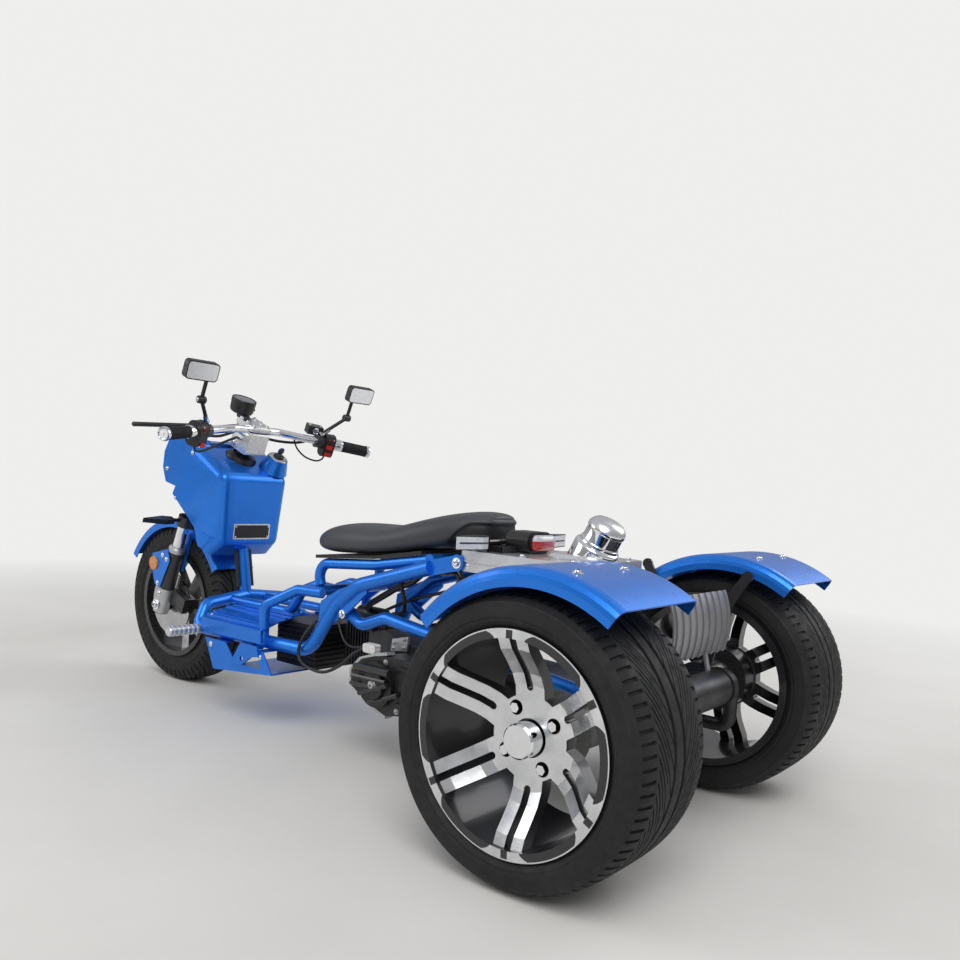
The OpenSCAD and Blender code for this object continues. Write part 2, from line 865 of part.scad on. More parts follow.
// Round bosses of the belt cover: place along its length and height as shares, and diameter
boss_shares = [[0.8, 0.5], [0.13, 0.58]];
boss_d = [104, 84];
boss_h = 12;
boss_step_share = 0.62;
boss_step_h = 8;
cyl_front_x = 850;
cyl_w = 110;
cyl_h = 110;
cyl_z = 235;
cyl_y = -15;
fin_t = 4;
fin_gap = 6;
fin_h = 10;
carb_d = 44;
carb_l = 80;
carb_h = 36;

module engine_case() {
  color(silver)
    from_axle()
      difference() {
        side_plate(
          outline_at(case_shares, case_corner, case_l, case_h),
          -case_right,
          case_left + case_right);
        translate([0, case_left + over, rear_r])
          rotate([90, 0, 0])
            cylinder(h = case_left + case_right + 2 * over, r = case_d / 2 + fit);
      }
}

function cover_at(along_share, up_share) =
  [cover_corner[0] + along_share * cover_l, cover_corner[1] + up_share * cover_h];

module cvt_cover() {
  face = case_left + fit + cover_t;
  color(black)
    from_axle()
      union() {
        side_plate(outline_at(cover_shares, cover_corner, cover_l, cover_h), case_left + fit, cover_t);
        for (r = cover_rib_shares) {
          start = cover_at(r[0], r[2]);
          translate([start[0], face - over, start[1] - cover_rib_t / 2])
            cube([(r[1] - r[0]) * cover_l, over + cover_rib_h, cover_rib_t]);
        }
        for (i = [0:len(boss_d) - 1]) {
          mid = cover_at(boss_shares[i][0], boss_shares[i][1]);
          translate([mid[0], face - over, mid[1]])
            rotate([-90, 0, 0]) {
              cylinder(h = over + boss_h, d = boss_d[i]);
              cylinder(h = over + boss_h + boss_step_h, d = boss_step_share * boss_d[i]);
            }
        }
      }
}

module engine_cylinder() {
  base_x = case_front_x + fit;
  count = floor((cyl_front_x - base_x) / (fin_t + fin_gap));
  color(grey)
    from_axle()
      translate([base_x, cyl_y, cyl_z]) {
        translate([0, -cyl_w / 2 + fin_h, -cyl_h / 2 + fin_h])
          cube([cyl_front_x - base_x, cyl_w - 2 * fin_h, cyl_h - 2 * fin_h]);
        for (i = [1:count - 1])
          translate([i * (fin_t + fin_gap), -cyl_w / 2, -cyl_h / 2])
            cube([fin_t, cyl_w, cyl_h]);
        translate([carb_d, cyl_w / 2, cyl_h / 2 - fin_h - over])
          cylinder(h = carb_h, d = carb_d / 2);
        translate([carb_d + carb_l / 2, cyl_w / 2, cyl_h / 2 + carb_h - fin_h])
          rotate([0, -90, 0])
            cylinder(h = carb_l, d = carb_d);
      }
}

// Exhaust
silencer_d = 75;
silencer_x = -105;
silencer_rise = 33.5;
silencer_z = rear_r + silencer_rise;
silencer_band_t = 3;
silencer_band_w = 14;
silencer_right = 110;
silencer_left = 150;
pipe_d = 28;
pipe_y = 168;
pipe_dip = 62.5;
pipe_low_z = rear_r - pipe_dip;
pipe_bend = 45;
pipe_port = [770, 162];
pipe_drop_z = 140;

module exhaust() {
  color(grey)
    from_axle() {
      translate([silencer_x, silencer_left, silencer_z])
        rotate([90, 0, 0])
          cylinder(h = silencer_left + silencer_right, d = silencer_d);
      for (y = [silencer_left - silencer_band_w, -silencer_right + 2 * silencer_band_w])
        translate([silencer_x, y, silencer_z])
          rotate([90, 0, 0])
            cylinder(h = silencer_band_w, d = silencer_d + 2 * silencer_band_t);
      bent_tube([
        [pipe_port[0], cyl_y, cyl_z - cyl_h / 2 - fit],
        [pipe_port[0], cyl_y, pipe_drop_z],
        [case_front_x - over, -pipe_y + arm_d, pipe_drop_z],
        [housing_d, -pipe_y, pipe_low_z],
        [silencer_x, -pipe_y, pipe_low_z],
        [silencer_x, -pipe_y, silencer_z],
        [silencer_x, -silencer_right + over, silencer_z]], pipe_d / 2, pipe_bend / 2);
    }
}

// Heat shield
shield_r = 165;
shield_step = [70, 151.5];
shield_mid = above_axle(shield_step);
shield_rib = 3;
shield_rib_w = 9;
shield_ribs = 9;
shield_low_angle = 198;
shield_top_angle = 154;
shield_right = 153;
shield_left = 106;
shield_leg_d = 10;
shield_leg_y = 60;

module heat_shield() {
  low = [shield_mid[0] + shield_r * cos(shield_low_angle), shield_mid[1] + shield_r * sin(shield_low_angle)];
  color(silver)
    from_axle() {
      translate([shield_mid[0], -shield_right, shield_mid[1]])
        rotate([-90, 0, 0])
          rotate(-shield_low_angle)
            rotate_extrude(angle = shield_low_angle - shield_top_angle)
              translate([shield_r - sheet_t, 0]) {
                square([sheet_t, shield_right + shield_left]);
                for (i = [0:shield_ribs - 1])
                  translate([0, (i + mid_share) * (shield_right + shield_left) / shield_ribs - shield_rib_w / 2])
                    square([sheet_t + shield_rib, shield_rib_w]);
              }
      both()
        difference() {
          rod(
            [silencer_x, shield_leg_y, silencer_z],
            [low[0] + sheet_t, shield_leg_y, low[1] + shield_leg_d],
            shield_leg_d / 2);
          translate([silencer_x, shield_leg_y + shield_leg_d, silencer_z])
            rotate([90, 0, 0])
              cylinder(h = 2 * shield_leg_d, r = silencer_d / 2 + fit);
        }
    }
}

// Battery box
battery_x = [880, 1020];
battery_half_w = 105;
battery_low_z = 160;

module battery_box() {
  top = spine_z - tube_d / 2 - fit;
  ribs = floor((top - battery_low_z) / (2 * fin_gap));
  color(black)
    from_axle() {
      translate([battery_x[0], -battery_half_w + fin_t, battery_low_z])
        cube([battery_x[1] + fin_h - battery_x[0], 2 * (battery_half_w - fin_t), top - battery_low_z]);
      for (i = [0:ribs - 1])
        translate([battery_x[0] - fin_t, -battery_half_w, battery_low_z + fin_gap + 2 * i * fin_gap])
          cube([battery_x[1] - battery_x[0] + fin_h, 2 * battery_half_w, fin_t]);
    }
}

// Tank and its cap
tank_x = [100, 410];
tank_z = [470, 515];
tank_half_w = upper_y - plate_t / 2 - fit;
tank_corner = 20;
cap_x = 158;
cap_tilt = 27;
neck_d = 100;
neck_l = 18;
drum_cap_d = 80;
drum_cap_l = 60;
dome_h = 16;
// The cap's turned profile: shares of its radius and of the dome's height
dome_shares = [[1, 0], [0.97, 0.2], [0.9, 0.48], [0.76, 0.76], [0.55, 0.93], [0.28, 1]];

// Corners of a rectangle, each turned through four short edges.
corner_steps = 4;
module rounded_2d(lx, ly, r) {
  mids = [[lx - r, ly - r], [r, ly - r], [r, r], [lx - r, r]];
  polygon([
    for (c = [0:3])
      for (k = [0:corner_steps])
        mids[c] + r * [cos(90 * (c + k / corner_steps)), sin(90 * (c + k / corner_steps))]]);
}

module fuel_tank() {
  color(silver)
    from_axle()
      translate([tank_x[0], -tank_half_w, tank_z[0]])
        linear_extrude(height = tank_z[1] - tank_z[0])
          rounded_2d(tank_x[1] - tank_x[0], 2 * tank_half_w, tank_corner);
}

module fuel_cap() {
  color(silver)
    from_axle()
      translate([cap_x, 0, tank_z[1] + fit])
        difference() {
          rotate([0, -cap_tilt, 0]) {
            translate([0, 0, -neck_d])
              cylinder(h = neck_d + 2 * neck_l, d = neck_d);
            cylinder(h = neck_l + drum_cap_l, d = drum_cap_d);
            translate([0, 0, neck_l + drum_cap_l])
              rotate_extrude()
                polygon(concat(
                  [[0, -over], [drum_cap_d / 2, -over]],
                  [for (s = dome_shares) [s[0] * drum_cap_d / 2, s[1] * dome_h]],
                  [[0, dome_h]]));
          }
          translate([-2 * neck_d, -2 * neck_d, -4 * neck_d])
            cube(4 * neck_d);
        }
}

// Seat: shares of length from the tail and of height, and of half the width
seat_nose_x = 945;
seat_tail_x = seat_nose_x - seat_l;
seat_low_z = 458;
seat_side_shares = [[0.968, 0.1], [1, 0.3], [0.925, 0.5], [0.818, 0.66], [0.679, 0.69], [0.537, 0.69],
  [0.45, 0.76],
  [0.371, 0.864], [0.25, 1.04], [0.171, 1.1], [0.1, 1.127], [0.02, 1.12], [0, 0.98]];
seat_plan_shares = [[0, 0.42], [0.04, 0.58], [0.12, 0.78], [0.25, 0.94], [0.45, 1], [0.78, 0.9],
  [0.91, 0.72], [0.975, 0.5], [1, 0.3]];
tail_rest_share = 0.14;
base_t = 8;
base_inset = 7;
base_half_w = seat_w / 2 - base_inset;
base_lift = tube_d / 2 + fit + base_t / 8;
base_back_x = seat_end[0] + tube_d;
// Lower line of the seat base along the seat tubes
base_line = [
  [seat_knee[0] - base_t, seat_knee[1] + base_lift],
  [seat_dip[0], seat_dip[1] + base_lift],
  [base_back_x, seat_end[1] + base_lift - base_t / 2]];

module seat_cushion() {
  plan = [for (s = seat_plan_shares) [s[0] * seat_l, s[1] * seat_w / 2]];
  plan_back = [for (i = [len(plan) - 1:-1:0]) [plan[i][0], -plan[i][1]]];
  under = [for (i = [len(base_line) - 1:-1:0]) base_line[i] + [0, base_t + fit]];
  form = outline_at(seat_side_shares, [seat_tail_x, seat_low_z], seat_l, seat_h);
  rest_z = tank_z[1] + fit;
  rest = [[seat_tail_x, rest_z], [seat_tail_x + tail_rest_share * seat_l, rest_z]];
  color(grey)
    from_axle()
      intersection() {
        side_plate(concat(under, form, rest), -seat_w / 2, seat_w);
        translate([seat_tail_x, 0, seat_low_z - seat_h])
          linear_extrude(height = 3 * seat_h)
            polygon(concat([[-seat_l, plan[0][1]]], plan, plan_back, [[-seat_l, -plan[0][1]]]));
      }
}

module seat_base() {
  top = [for (i = [len(base_line) - 1:-1:0]) base_line[i] + [0, base_t]];
  color(black)
    from_axle()
      side_plate(concat(base_line, top), -base_half_w, 2 * base_half_w);
}

// Tail lamp and rear signals
lamp_back = 95;
signal_back = 30;
signal_stalk_d = 12;
signal_x = seat_tail_x - signal_back;
lamp_x = [seat_tail_x - lamp_back, signal_x - signal_stalk_d / 2 - fit];
lamp_half_w = 45;
lamp_h = 46;
lens_t = 12;
lamp_round = 18;
signal_z = 535;
signal_in = 105;
signal_out = 205;
signal_h = 27;
signal_t = 30;

module tail_lamp() {
  color(black)
    from_axle()
      translate([lamp_x[0], -lamp_half_w, tank_z[1] + fit]) {
        rotate([90, 0, 90])
          linear_extrude(height = lamp_x[1] - lamp_x[0])
            rounded_2d(2 * lamp_half_w, lamp_h, lamp_round);
        translate([-lens_t, lens_t / 2, lens_t / 2])
          rotate([90, 0, 90])
            linear_extrude(height = 2 * lens_t)
              rounded_2d(2 * lamp_half_w - lens_t, lamp_h - lens_t, lamp_round - lens_t / 2);
      }
}

module arrow_lamp(h, t, inner, outer) {
  translate([0, 0, -h / 2])
    linear_extrude(height = h)
      polygon([
        [-t / 3, inner],
        [-t / 2, inner + t],
        [0, outer],
        [t / 2, inner + t],
        [t / 3, inner]]);
}

module rear_signals() {
  color(clear)
    from_axle()
      translate([signal_x, 0, signal_z]) {
        both()
          arrow_lamp(signal_h, signal_t, signal_in, signal_out);
        translate([0, signal_in + over, 0])
          rotate([90, 0, 0])
            cylinder(h = 2 * (signal_in + over), d = signal_stalk_d);
      }
}

// Front box: a bent sheet shell round the head tube, open below and in front
box_rear_step = [-156, -96];
box_corner = from_head(box_rear_step);
box_rear_x = box_corner[0];
box_l = 232;
box_h = 307;
box_front_x = box_rear_x + box_l;
box_rear_half = 113;
box_front_half = 133;
box_shares = [[0, 0.746], [0.526, 0.997], [0.595, 1], [0.961, 0.489], [0.543, 0.352], [0.431, 0.085],
  [0.31, 0], [0.095, 0.12]];
box_inner_shares = [[0.017, 0.739], [0.53, 0.984], [1.517, 0.984], [1.517, -0.215], [0.332, -0.215],
  [0.224, -0.02], [0.112, 0.127]];
box_outline = outline_at(box_shares, box_corner, box_l, box_h);
box_inside = outline_at(box_inner_shares, box_corner, box_l, box_h);
box_low_half = 92;
box_mid_half = 126;
box_band_shares = [-0.02, 0.469, 0.762, 1.153];
box_z = [for (s = box_band_shares) box_corner[1] + s * box_h];
box_hole_d = 62;
function box_half(x) = box_rear_half + (box_front_half - box_rear_half) * (x - box_rear_x) / box_l;
box_bar_x = wheelbase - (fork_offset + head_d / 2) * cos(rake) - box_bar_z * sin(rake);
box_bar_half = box_half(box_bar_x - box_bar_d / 2) - sheet_t - fit;

module box_form(outline, inset) {
  reach = box_front_x - box_rear_x;
  intersection() {
    side_plate(outline, -box_front_half, 2 * box_front_half);
    translate([0, 0, box_z[0] - reach])
      linear_extrude(height = box_z[3] + reach)
        polygon([
          [box_rear_x, box_rear_half - inset],
          [box_front_x + reach, box_half(box_front_x + reach) - inset],
          [box_front_x + reach, -box_half(box_front_x + reach) + inset],
          [box_rear_x, -box_rear_half + inset]]);
    translate([box_rear_x - over, 0, 0])
      rotate([90, 0, 90])
        linear_extrude(height = 2 * reach)
          polygon([
            [box_low_half - inset, box_z[0] - reach],
            [box_low_half - inset, box_z[0]],
            [box_mid_half - inset, box_z[1]],
            [box_front_half - inset, box_z[2]],
            [box_front_half - inset, box_z[3]],
            [-box_front_half + inset, box_z[3]],
            [-box_front_half + inset, box_z[2]],
            [-box_mid_half + inset, box_z[1]],
            [-box_low_half + inset, box_z[0]],
            [-box_low_half + inset, box_z[0] - reach]]);
  }
}

module front_box() {
  color(blue)
    difference() {
      from_axle()
        difference() {
          box_form(box_outline, 0);
          box_form(box_inside, sheet_t);
        }
      steer_place()
        translate([-fork_offset, 0, head_base + head_l])
          cylinder(h = head_l, d = box_hole_d);
    }
}

lock_y = -80;
lock_ahead = 34;
lock_x = box_rear_x + lock_ahead;
lock_d = 28;
lock_h = 50;
boss_low_d = 84;
boss_top_d = 58;
boss_rise = 42;

module ignition_lock() {
  slope = atan2(box_outline[1][1] - box_outline[0][1], box_outline[1][0] - box_outline[0][0]);
  lift = (lock_x - box_outline[0][0]) * tan(slope);
  color(black)
    from_axle()
      translate([lock_x, lock_y, box_outline[0][1] + lift])
        rotate([0, -slope, 0])
          translate([0, 0, fit])
            union() {
              cylinder(h = boss_rise, d1 = boss_low_d, d2 = boss_top_d);
              cylinder(h = lock_h, d = lock_d);
            }
}

// Headlight
lamp_step = [128, 143];
lamp_mid = from_head(lamp_step);
// The lamp's turned profile: shares of its radius and of its length, back to front
lamp_shares = [[0, 0], [0.42, 0.02], [0.72, 0.14], [0.92, 0.34], [1, 0.56], [1, 1], [0.95, 1.06],
  [0.92, 1.02], [0.75, 1.12],
  [0.4, 1.19], [0, 1.2]];
lamp_d = 144;
lamp_l = 80;
cheek_step = [-30, 90];
cheek_l = 228;
cheek_h = 143;
cheek_shares = [[0, 0.85], [0, 0.951], [0.281, 1], [0.62, 0.97], [0.88, 0.93], [0.97, 0.7], [1, 0.371],
  [0.93, 0.07], [0.728, 0],
  [0.544, 0.126], [0.465, 0.406], [0.333, 0.741], [0.096, 0.85]];

module headlight() {
  color(black)
    from_axle()
      translate([lamp_mid[0] - lamp_l / 2, 0, lamp_mid[1]])
        rotate([0, 90, 0])
          rotate_extrude()
            polygon([for (s = lamp_shares) [s[0] * lamp_d / 2, s[1] * lamp_l]]);
}

// Hood over the lamp: shares of the cheeks' length and height along its upper side
hood_shares = [[0, 0.91], [0.281, 0.96], [0.62, 0.93], [0.88, 0.905]];

module headlight_bracket() {
  line = outline_at(hood_shares, from_head(cheek_step), cheek_l, cheek_h);
  under = [for (i = [len(line) - 1:-1:0]) line[i] - [0, sheet_t]];
  half = lamp_d / 2 + fit + sheet_t / 2;
  color(blue)
    from_axle()
      side_plate(concat(line, under), -half, 2 * half);
  color(blue)
    from_axle()
      both()
        side_plate(
          outline_at(cheek_shares, from_head(cheek_step), cheek_l, cheek_h),
          lamp_d / 2 + fit,
          sheet_t);
}

// Wiring down the sides of the downtube
harness_d = 12;
harness_back = 31;
harness_low = [nose_x - harness_back, 318];
harness_step = [-99, -77];
harness_top = from_head(harness_step);

module cable_harness() {
  y = down_d / 2 + harness_d / 2 + fit;
  color(black)
    from_axle()
      both()
        rod([harness_low[0], y, harness_low[1]], [harness_top[0], y, harness_top[1]], harness_d / 2);
}

// Steering: drawn with the front axle at the origin and the fork upright
leg_y = fork_spread / 2;
stem_proud = 80;
stem_top = head_base + head_l + stem_proud;
crown_leg_d = 38;
crown_stem_d = 56;

module steering_stem() {
  color(black)
    steer_place() {
      translate([-fork_offset, 0, crown_z - crown_t])
        cylinder(h = stem_top - crown_z + crown_t, d = stem_d);
      difference() {
        translate([0, 0, crown_z - crown_t])
          linear_extrude(height = crown_t) {
            for (s = [-1, 1])
              bar_2d([0, s * leg_y], [-fork_offset, 0], crown_leg_d);
            translate([-fork_offset, 0])
              circle(d = crown_stem_d);
          }
        for (s = [-1, 1])
          translate([0, s * leg_y, 0])
            cylinder(h = 2 * crown_z, r = stanchion_d / 2 + run_fit);
      }
    }
}

slider_foot = 25;
slider_bore_z = 90;
module fork_stanchions() {
  color(silver)
    steer_place()
      both()
        translate([0, leg_y, slider_bore_z + fit])
          cylinder(h = crown_z - slider_bore_z - fit, d = stanchion_d);
}

axle_proud = 8;
module fork_sliders() {
  half = leg_y + slider_d / 2 + axle_proud;
  color(grey)
    steer_place() {
      both()
        difference() {
          translate([0, leg_y, -slider_foot])
            cylinder(h = slider_l + slider_foot, d = slider_d);
          translate([0, leg_y, slider_bore_z])
            cylinder(h = slider_l, r = stanchion_d / 2 + run_fit);
        }
      translate([0, half, 0])
        rotate([90, 0, 0])
          cylinder(h = 2 * half, d = front_axle_d);
    }
}

bar_x = -fork_offset - bar_back;
bar_bend = 60;
bar_slope = bar_sweep / (bar_w / 2 - bar_mid_w / 2);
function bar_pt(y) = [bar_x - (y - bar_mid_w / 2) * bar_slope, y, bar_h];

module handlebar() {
  right = flip_y([bar_pt(bar_w / 2), bar_pt(bar_mid_w / 2)]);
  color(black)
    steer_place()
      bent_tube(concat(right, [bar_pt(bar_mid_w / 2), bar_pt(bar_w / 2)]), bar_d / 2, bar_bend);
}

riser_w = 64;
riser_back = 22;
riser_lap = 30;
riser_cover = 16;
riser_low = stem_top - riser_lap;
riser_high = bar_h + riser_cover;
module bar_riser() {
  back = bar_x - riser_back;
  front = -fork_offset + stem_d / 2 + sheet_t;
  color(silver)
    steer_place()
      difference() {
        translate([back, -riser_w / 2, riser_low])
          cube([front - back, riser_w, riser_high - riser_low]);
        translate([bar_x, riser_w, bar_h])
          rotate([90, 0, 0])
            cylinder(h = 2 * riser_w, r = bar_d / 2 + run_fit);
        translate([-fork_offset, 0, riser_low - over])
          cylinder(h = stem_top + fit - riser_low + over, r = stem_d / 2 + run_fit);
      }
}

module bar_sleeve(y0, y1, d) {
  a = bar_pt(y0);
  b = bar_pt(y1);
  difference() {
    rod(a, b, d / 2);
    rod(a - unit(b - a) * over, b + unit(b - a) * over, bar_d / 2 + run_fit);
  }
}

grip_l = 107;
grip_in = bar_w / 2 - grip_l;
grip_d = 33;
cap_t = 9;
housing_l = 30;
housing_in = grip_in - housing_l;
housing_w = 44;
housing_up = 27;
housing_down = 40;
housing_round = 16;
module grips() {
  a = bar_pt(bar_w / 2 + cap_t / 2);
  color(black)
    steer_place()
      both() {
        bar_sleeve(grip_in, bar_w / 2, grip_d);
        along(bar_pt(bar_w / 2) + unit(a - bar_pt(grip_in)) * fit, a)
          cylinder(h = cap_t, d = grip_d);
      }
}

module switch_housings() {
  a = bar_pt(housing_in);
  b = bar_pt(grip_in - fit);
  color(black)
    steer_place()
      both()
        difference() {
          along(a, b)
            translate([-housing_up, -housing_w / 2, 0])
              linear_extrude(height = norm(b - a))
                rounded_2d(housing_up + housing_down, housing_w, housing_round);
          rod(a - unit(b - a) * over, b + unit(b - a) * over, bar_d / 2 + run_fit);
        }
}

lever_l = 23;
lever_in = housing_in - lever_l;
lever_clamp_d = 38;
lever_d = 12;
lever_elbow = [48, 30, -8];
lever_tip_step = [42, -31];
lever_tip = [bar_x + lever_tip_step[0], bar_w / 2, bar_h + lever_tip_step[1]];
// Fluid box ahead of the bar on the right side
fluid_l = 46;
fluid_w = 30;
fluid_h = 26;
fluid_gap = 1;
module brake_levers() {
  p = bar_pt(lever_in + lever_d);
  knee = [p[0] + lever_elbow[0], lever_in + lever_elbow[1], p[2] + lever_elbow[2]];
  color(black)
    steer_place()
      both() {
        bar_sleeve(lever_in, housing_in - fit, lever_clamp_d);
        rod(p + [bar_d / 2 + lever_d / 2, 0, 0], knee, lever_d / 2);
        translate(knee)
          sphere(d = lever_d + bend_lap);
        rod(knee, lever_tip, lever_d / 2);
        translate(lever_tip)
          sphere(d = lever_d + bend_lap);
      }
  color(black)
    steer_place()
      mirror([0, 1, 0])
        along(bar_pt(lever_in - fluid_l / 2), bar_pt(lever_in))
          translate([-fluid_h - lever_d, -bar_d / 2 - fluid_gap - fluid_w, 0])
            cube([fluid_h, fluid_w, fluid_l]);
}

mirror_w = 92;
mirror_h = 48;
mirror_t = 18;
mirror_corner = 10;
mirror_step = [-78, -73, 165];
mirror_mid = [bar_x, bar_w / 2, bar_h] + mirror_step;
elbow_step = [-69, -95, 90];
mirror_elbow = [bar_x, bar_w / 2, bar_h] + elbow_step;
mirror_arm_d = 10;
foot_lift_share = 0.4;
module mirrors() {
  foot = bar_pt(lever_in + lever_d) + [0, 0, lever_clamp_d / 2 + fit + foot_lift_share * mirror_arm_d];
  color(black)
    steer_place()
      both() {
        rod(foot, mirror_elbow, mirror_arm_d / 2);
        translate(mirror_elbow)
          sphere(d = mirror_arm_d + bend_lap);
        rod(mirror_elbow, [mirror_elbow[0], mirror_elbow[1], mirror_mid[2]], mirror_arm_d / 2);
        translate([mirror_mid[0], mirror_mid[1] - mirror_w / 2, mirror_mid[2] - mirror_h / 2])
          rotate([90, 0, 90])
            linear_extrude(height = mirror_t)
              rounded_2d(mirror_w, mirror_h, mirror_corner);
      }
}

dial_d = 70;
dial_h = 42;
dial_x = 12;
dial_gap = 2;
dial_z = riser_high + dial_gap;
dial_arm_t = 12;
module speedometer() {
  start = -fork_offset + stem_d / 2 + sheet_t + fit;
  color(black)
    steer_place() {
      translate([dial_x, 0, dial_z])
        cylinder(h = dial_h, d = dial_d);
      translate([start, -dial_arm_t, dial_z - dial_arm_t])
        cube([dial_x - start, 2 * dial_arm_t, dial_arm_t + over]);
    }
}

guard_gap = 13;
guard_half = 66;
guard_lip = 20;
guard_front_angle = 9;
guard_rear_angle = 128;
guard_low = 115;
guard_stay_w = 26;
plate_z = [96, 136];
plate_x = 66;
plate_y = 112;
plate_sheet = 4;
module front_fender() {
  r = front_r + guard_gap;
  color(blue)
    steer_place() {
      translate([0, -guard_half, 0])
        rotate([-90, 0, 0])
          rotate(-guard_rear_angle)
            rotate_extrude(angle = guard_rear_angle - guard_front_angle)
              polygon([
                [r - guard_lip, 0],
                [r, 0],
                [r + sheet_t, sheet_t],
                [r + sheet_t, 2 * guard_half - sheet_t],
                [r, 2 * guard_half],
                [r - guard_lip, 2 * guard_half],
                [r - guard_lip, 2 * guard_half - sheet_t],
                [r, 2 * guard_half - sheet_t],
                [r, sheet_t],
                [r - guard_lip, sheet_t]]);
      both() {
        translate([-guard_stay_w / 2, guard_half - sheet_t, guard_low])
          cube([guard_stay_w, leg_y - slider_d / 2 - fit - guard_half + sheet_t, r - guard_lip / 2 - guard_low]);
        difference() {
          translate([0, plate_y, plate_z[0]])
            cube([plate_x, plate_sheet, plate_z[1] - plate_z[0]]);
          translate([0, leg_y, 0])
            cylinder(h = slider_l, r = slider_d / 2 + fit);
        }
      }
    }
}

front_signal_in = 135;
front_signal_out = 230;
front_signal_h = 14;
front_signal_t = 30;
module front_signals() {
  color(black)
    steer_place()
      both()
        translate([0, 0, crown_z - crown_t / 2 + sheet_t]) {
          arrow_lamp(front_signal_h, front_signal_t, front_signal_in, front_signal_out);
          translate([0, leg_y + eye_share * crown_leg_d / 2 + fit, 0])
            rotate([-90, 0, 0])
              cylinder(h = front_signal_in - leg_y - crown_leg_d / 2, d = front_signal_h - sheet_t);
        }
}

// Front wheel, drawn with the left side up
front_lip_t = 6;
front_lip_h = 7;
front_bead = bead_share * front_tyre_w / 2;
front_rim_half = front_bead + fit + front_lip_t;
front_seat_r = front_seat_d / 2 - fit;
front_inner_r = front_seat_r - rear_rim_wall;
front_hub_d = 60;
front_hub_w = 50;
front_boss_d = 40;
front_spoke_w = 34;
front_spoke_t = 26;
disc_t = 4;
disc_y = 62;
caliper_x = [-88, -36];
caliper_y = [50, 88];
caliper_lug_t = 12;
caliper_z = [14, 60];
caliper_gap = 3;

module wheel_place() {
  from_axle()
    translate([wheelbase, 0, front_r])
      rotate([-90, 0, 0])
        children();
}

module front_tyre() {
  color(black)
    wheel_place()
      tyre(front_tyre_d, front_tyre_w, front_seat_d);
}

module front_rim() {
  half = leg_y - slider_d / 2 - fit;
  color(grey)
    wheel_place()
      difference() {
        union() {
          rotate_extrude()
            polygon([
              [front_inner_r, -front_rim_half],
              [front_seat_r + front_lip_h, -front_rim_half],
              [front_seat_r + front_lip_h, -front_bead - fit],
              [front_seat_r, -front_bead - fit],
              [front_seat_r, front_bead + fit],
              [front_seat_r + front_lip_h, front_bead + fit],
              [front_seat_r + front_lip_h, front_rim_half],
              [front_inner_r, front_rim_half]]);
          translate([0, 0, -front_hub_w])
            cylinder(h = front_hub_w + disc_y - fit, d = front_hub_d);
          translate([0, 0, -half])
            cylinder(h = 2 * half, d = front_boss_d);
          for (i = [0:front_spokes - 1])
            rotate(90 + i * 360 / front_spokes)
              translate([0, -front_spoke_w / 2, -front_spoke_t / 2])
                cube([front_inner_r + rear_rim_wall / 2, front_spoke_w, front_spoke_t]);
        }
        translate([0, 0, -2 * half])
          cylinder(h = 4 * half, r = front_axle_d / 2 + run_fit);
      }
}

module brake_disc() {
  color(silver)
    wheel_place()
      translate([0, 0, disc_y])
        difference() {
          cylinder(h = disc_t, d = disc_d);
          translate([0, 0, -over])
            cylinder(h = disc_t + 2 * over, r = front_boss_d / 2 + run_fit);
        }
}

module brake_caliper() {
  color(black)
    steer_place()
      difference() {
        union() {
          translate([caliper_x[0], caliper_y[0], caliper_z[0]])
            cube([caliper_x[1] - caliper_x[0], caliper_y[1] - caliper_y[0], caliper_z[1] - caliper_z[0]]);
          translate([caliper_x[1] - over, caliper_y[1] - caliper_lug_t, caliper_z[0]])
            cube([over - caliper_x[1], caliper_lug_t, caliper_z[1] - caliper_z[0]]);
        }
        translate([0, disc_y - caliper_gap, 0])
          rotate([-90, 0, 0])
            cylinder(h = disc_t + 2 * caliper_gap, r = disc_d / 2 + caliper_gap);
        translate([0, leg_y, 0])
          cylinder(h = slider_l, r = slider_d / 2 + fit);
      }
}

frame_spine();
frame_rails();
seat_rails();
floor_panel();
belly_pan();
foot_pegs();
swingarm();
rear_shocks();
axle_housing();
engine_case();
cvt_cover();
engine_cylinder();
exhaust();
heat_shield();
battery_box();
fuel_tank();
fuel_cap();
seat_cushion();
seat_base();
rear_fenders();
fender_stays();
tail_lamp();
rear_signals();
front_box();
ignition_lock();
headlight();
headlight_bracket();
cable_harness();
steering_stem();
fork_stanchions();
fork_sliders();
handlebar();
bar_riser();
grips();
switch_housings();
brake_levers();
mirrors();
speedometer();
front_fender();
front_signals();
brake_caliper();
front_tyre();
front_rim();
brake_disc();
rear_tyre_left();
rear_rim_left();
rear_hub_left();
rear_tyre_right();
rear_rim_right();
rear_hub_right();
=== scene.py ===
from math import acos, cos, pi, radians, sin, tan

import bmesh
import bpy
import numpy as np
from mathutils import Matrix, Vector


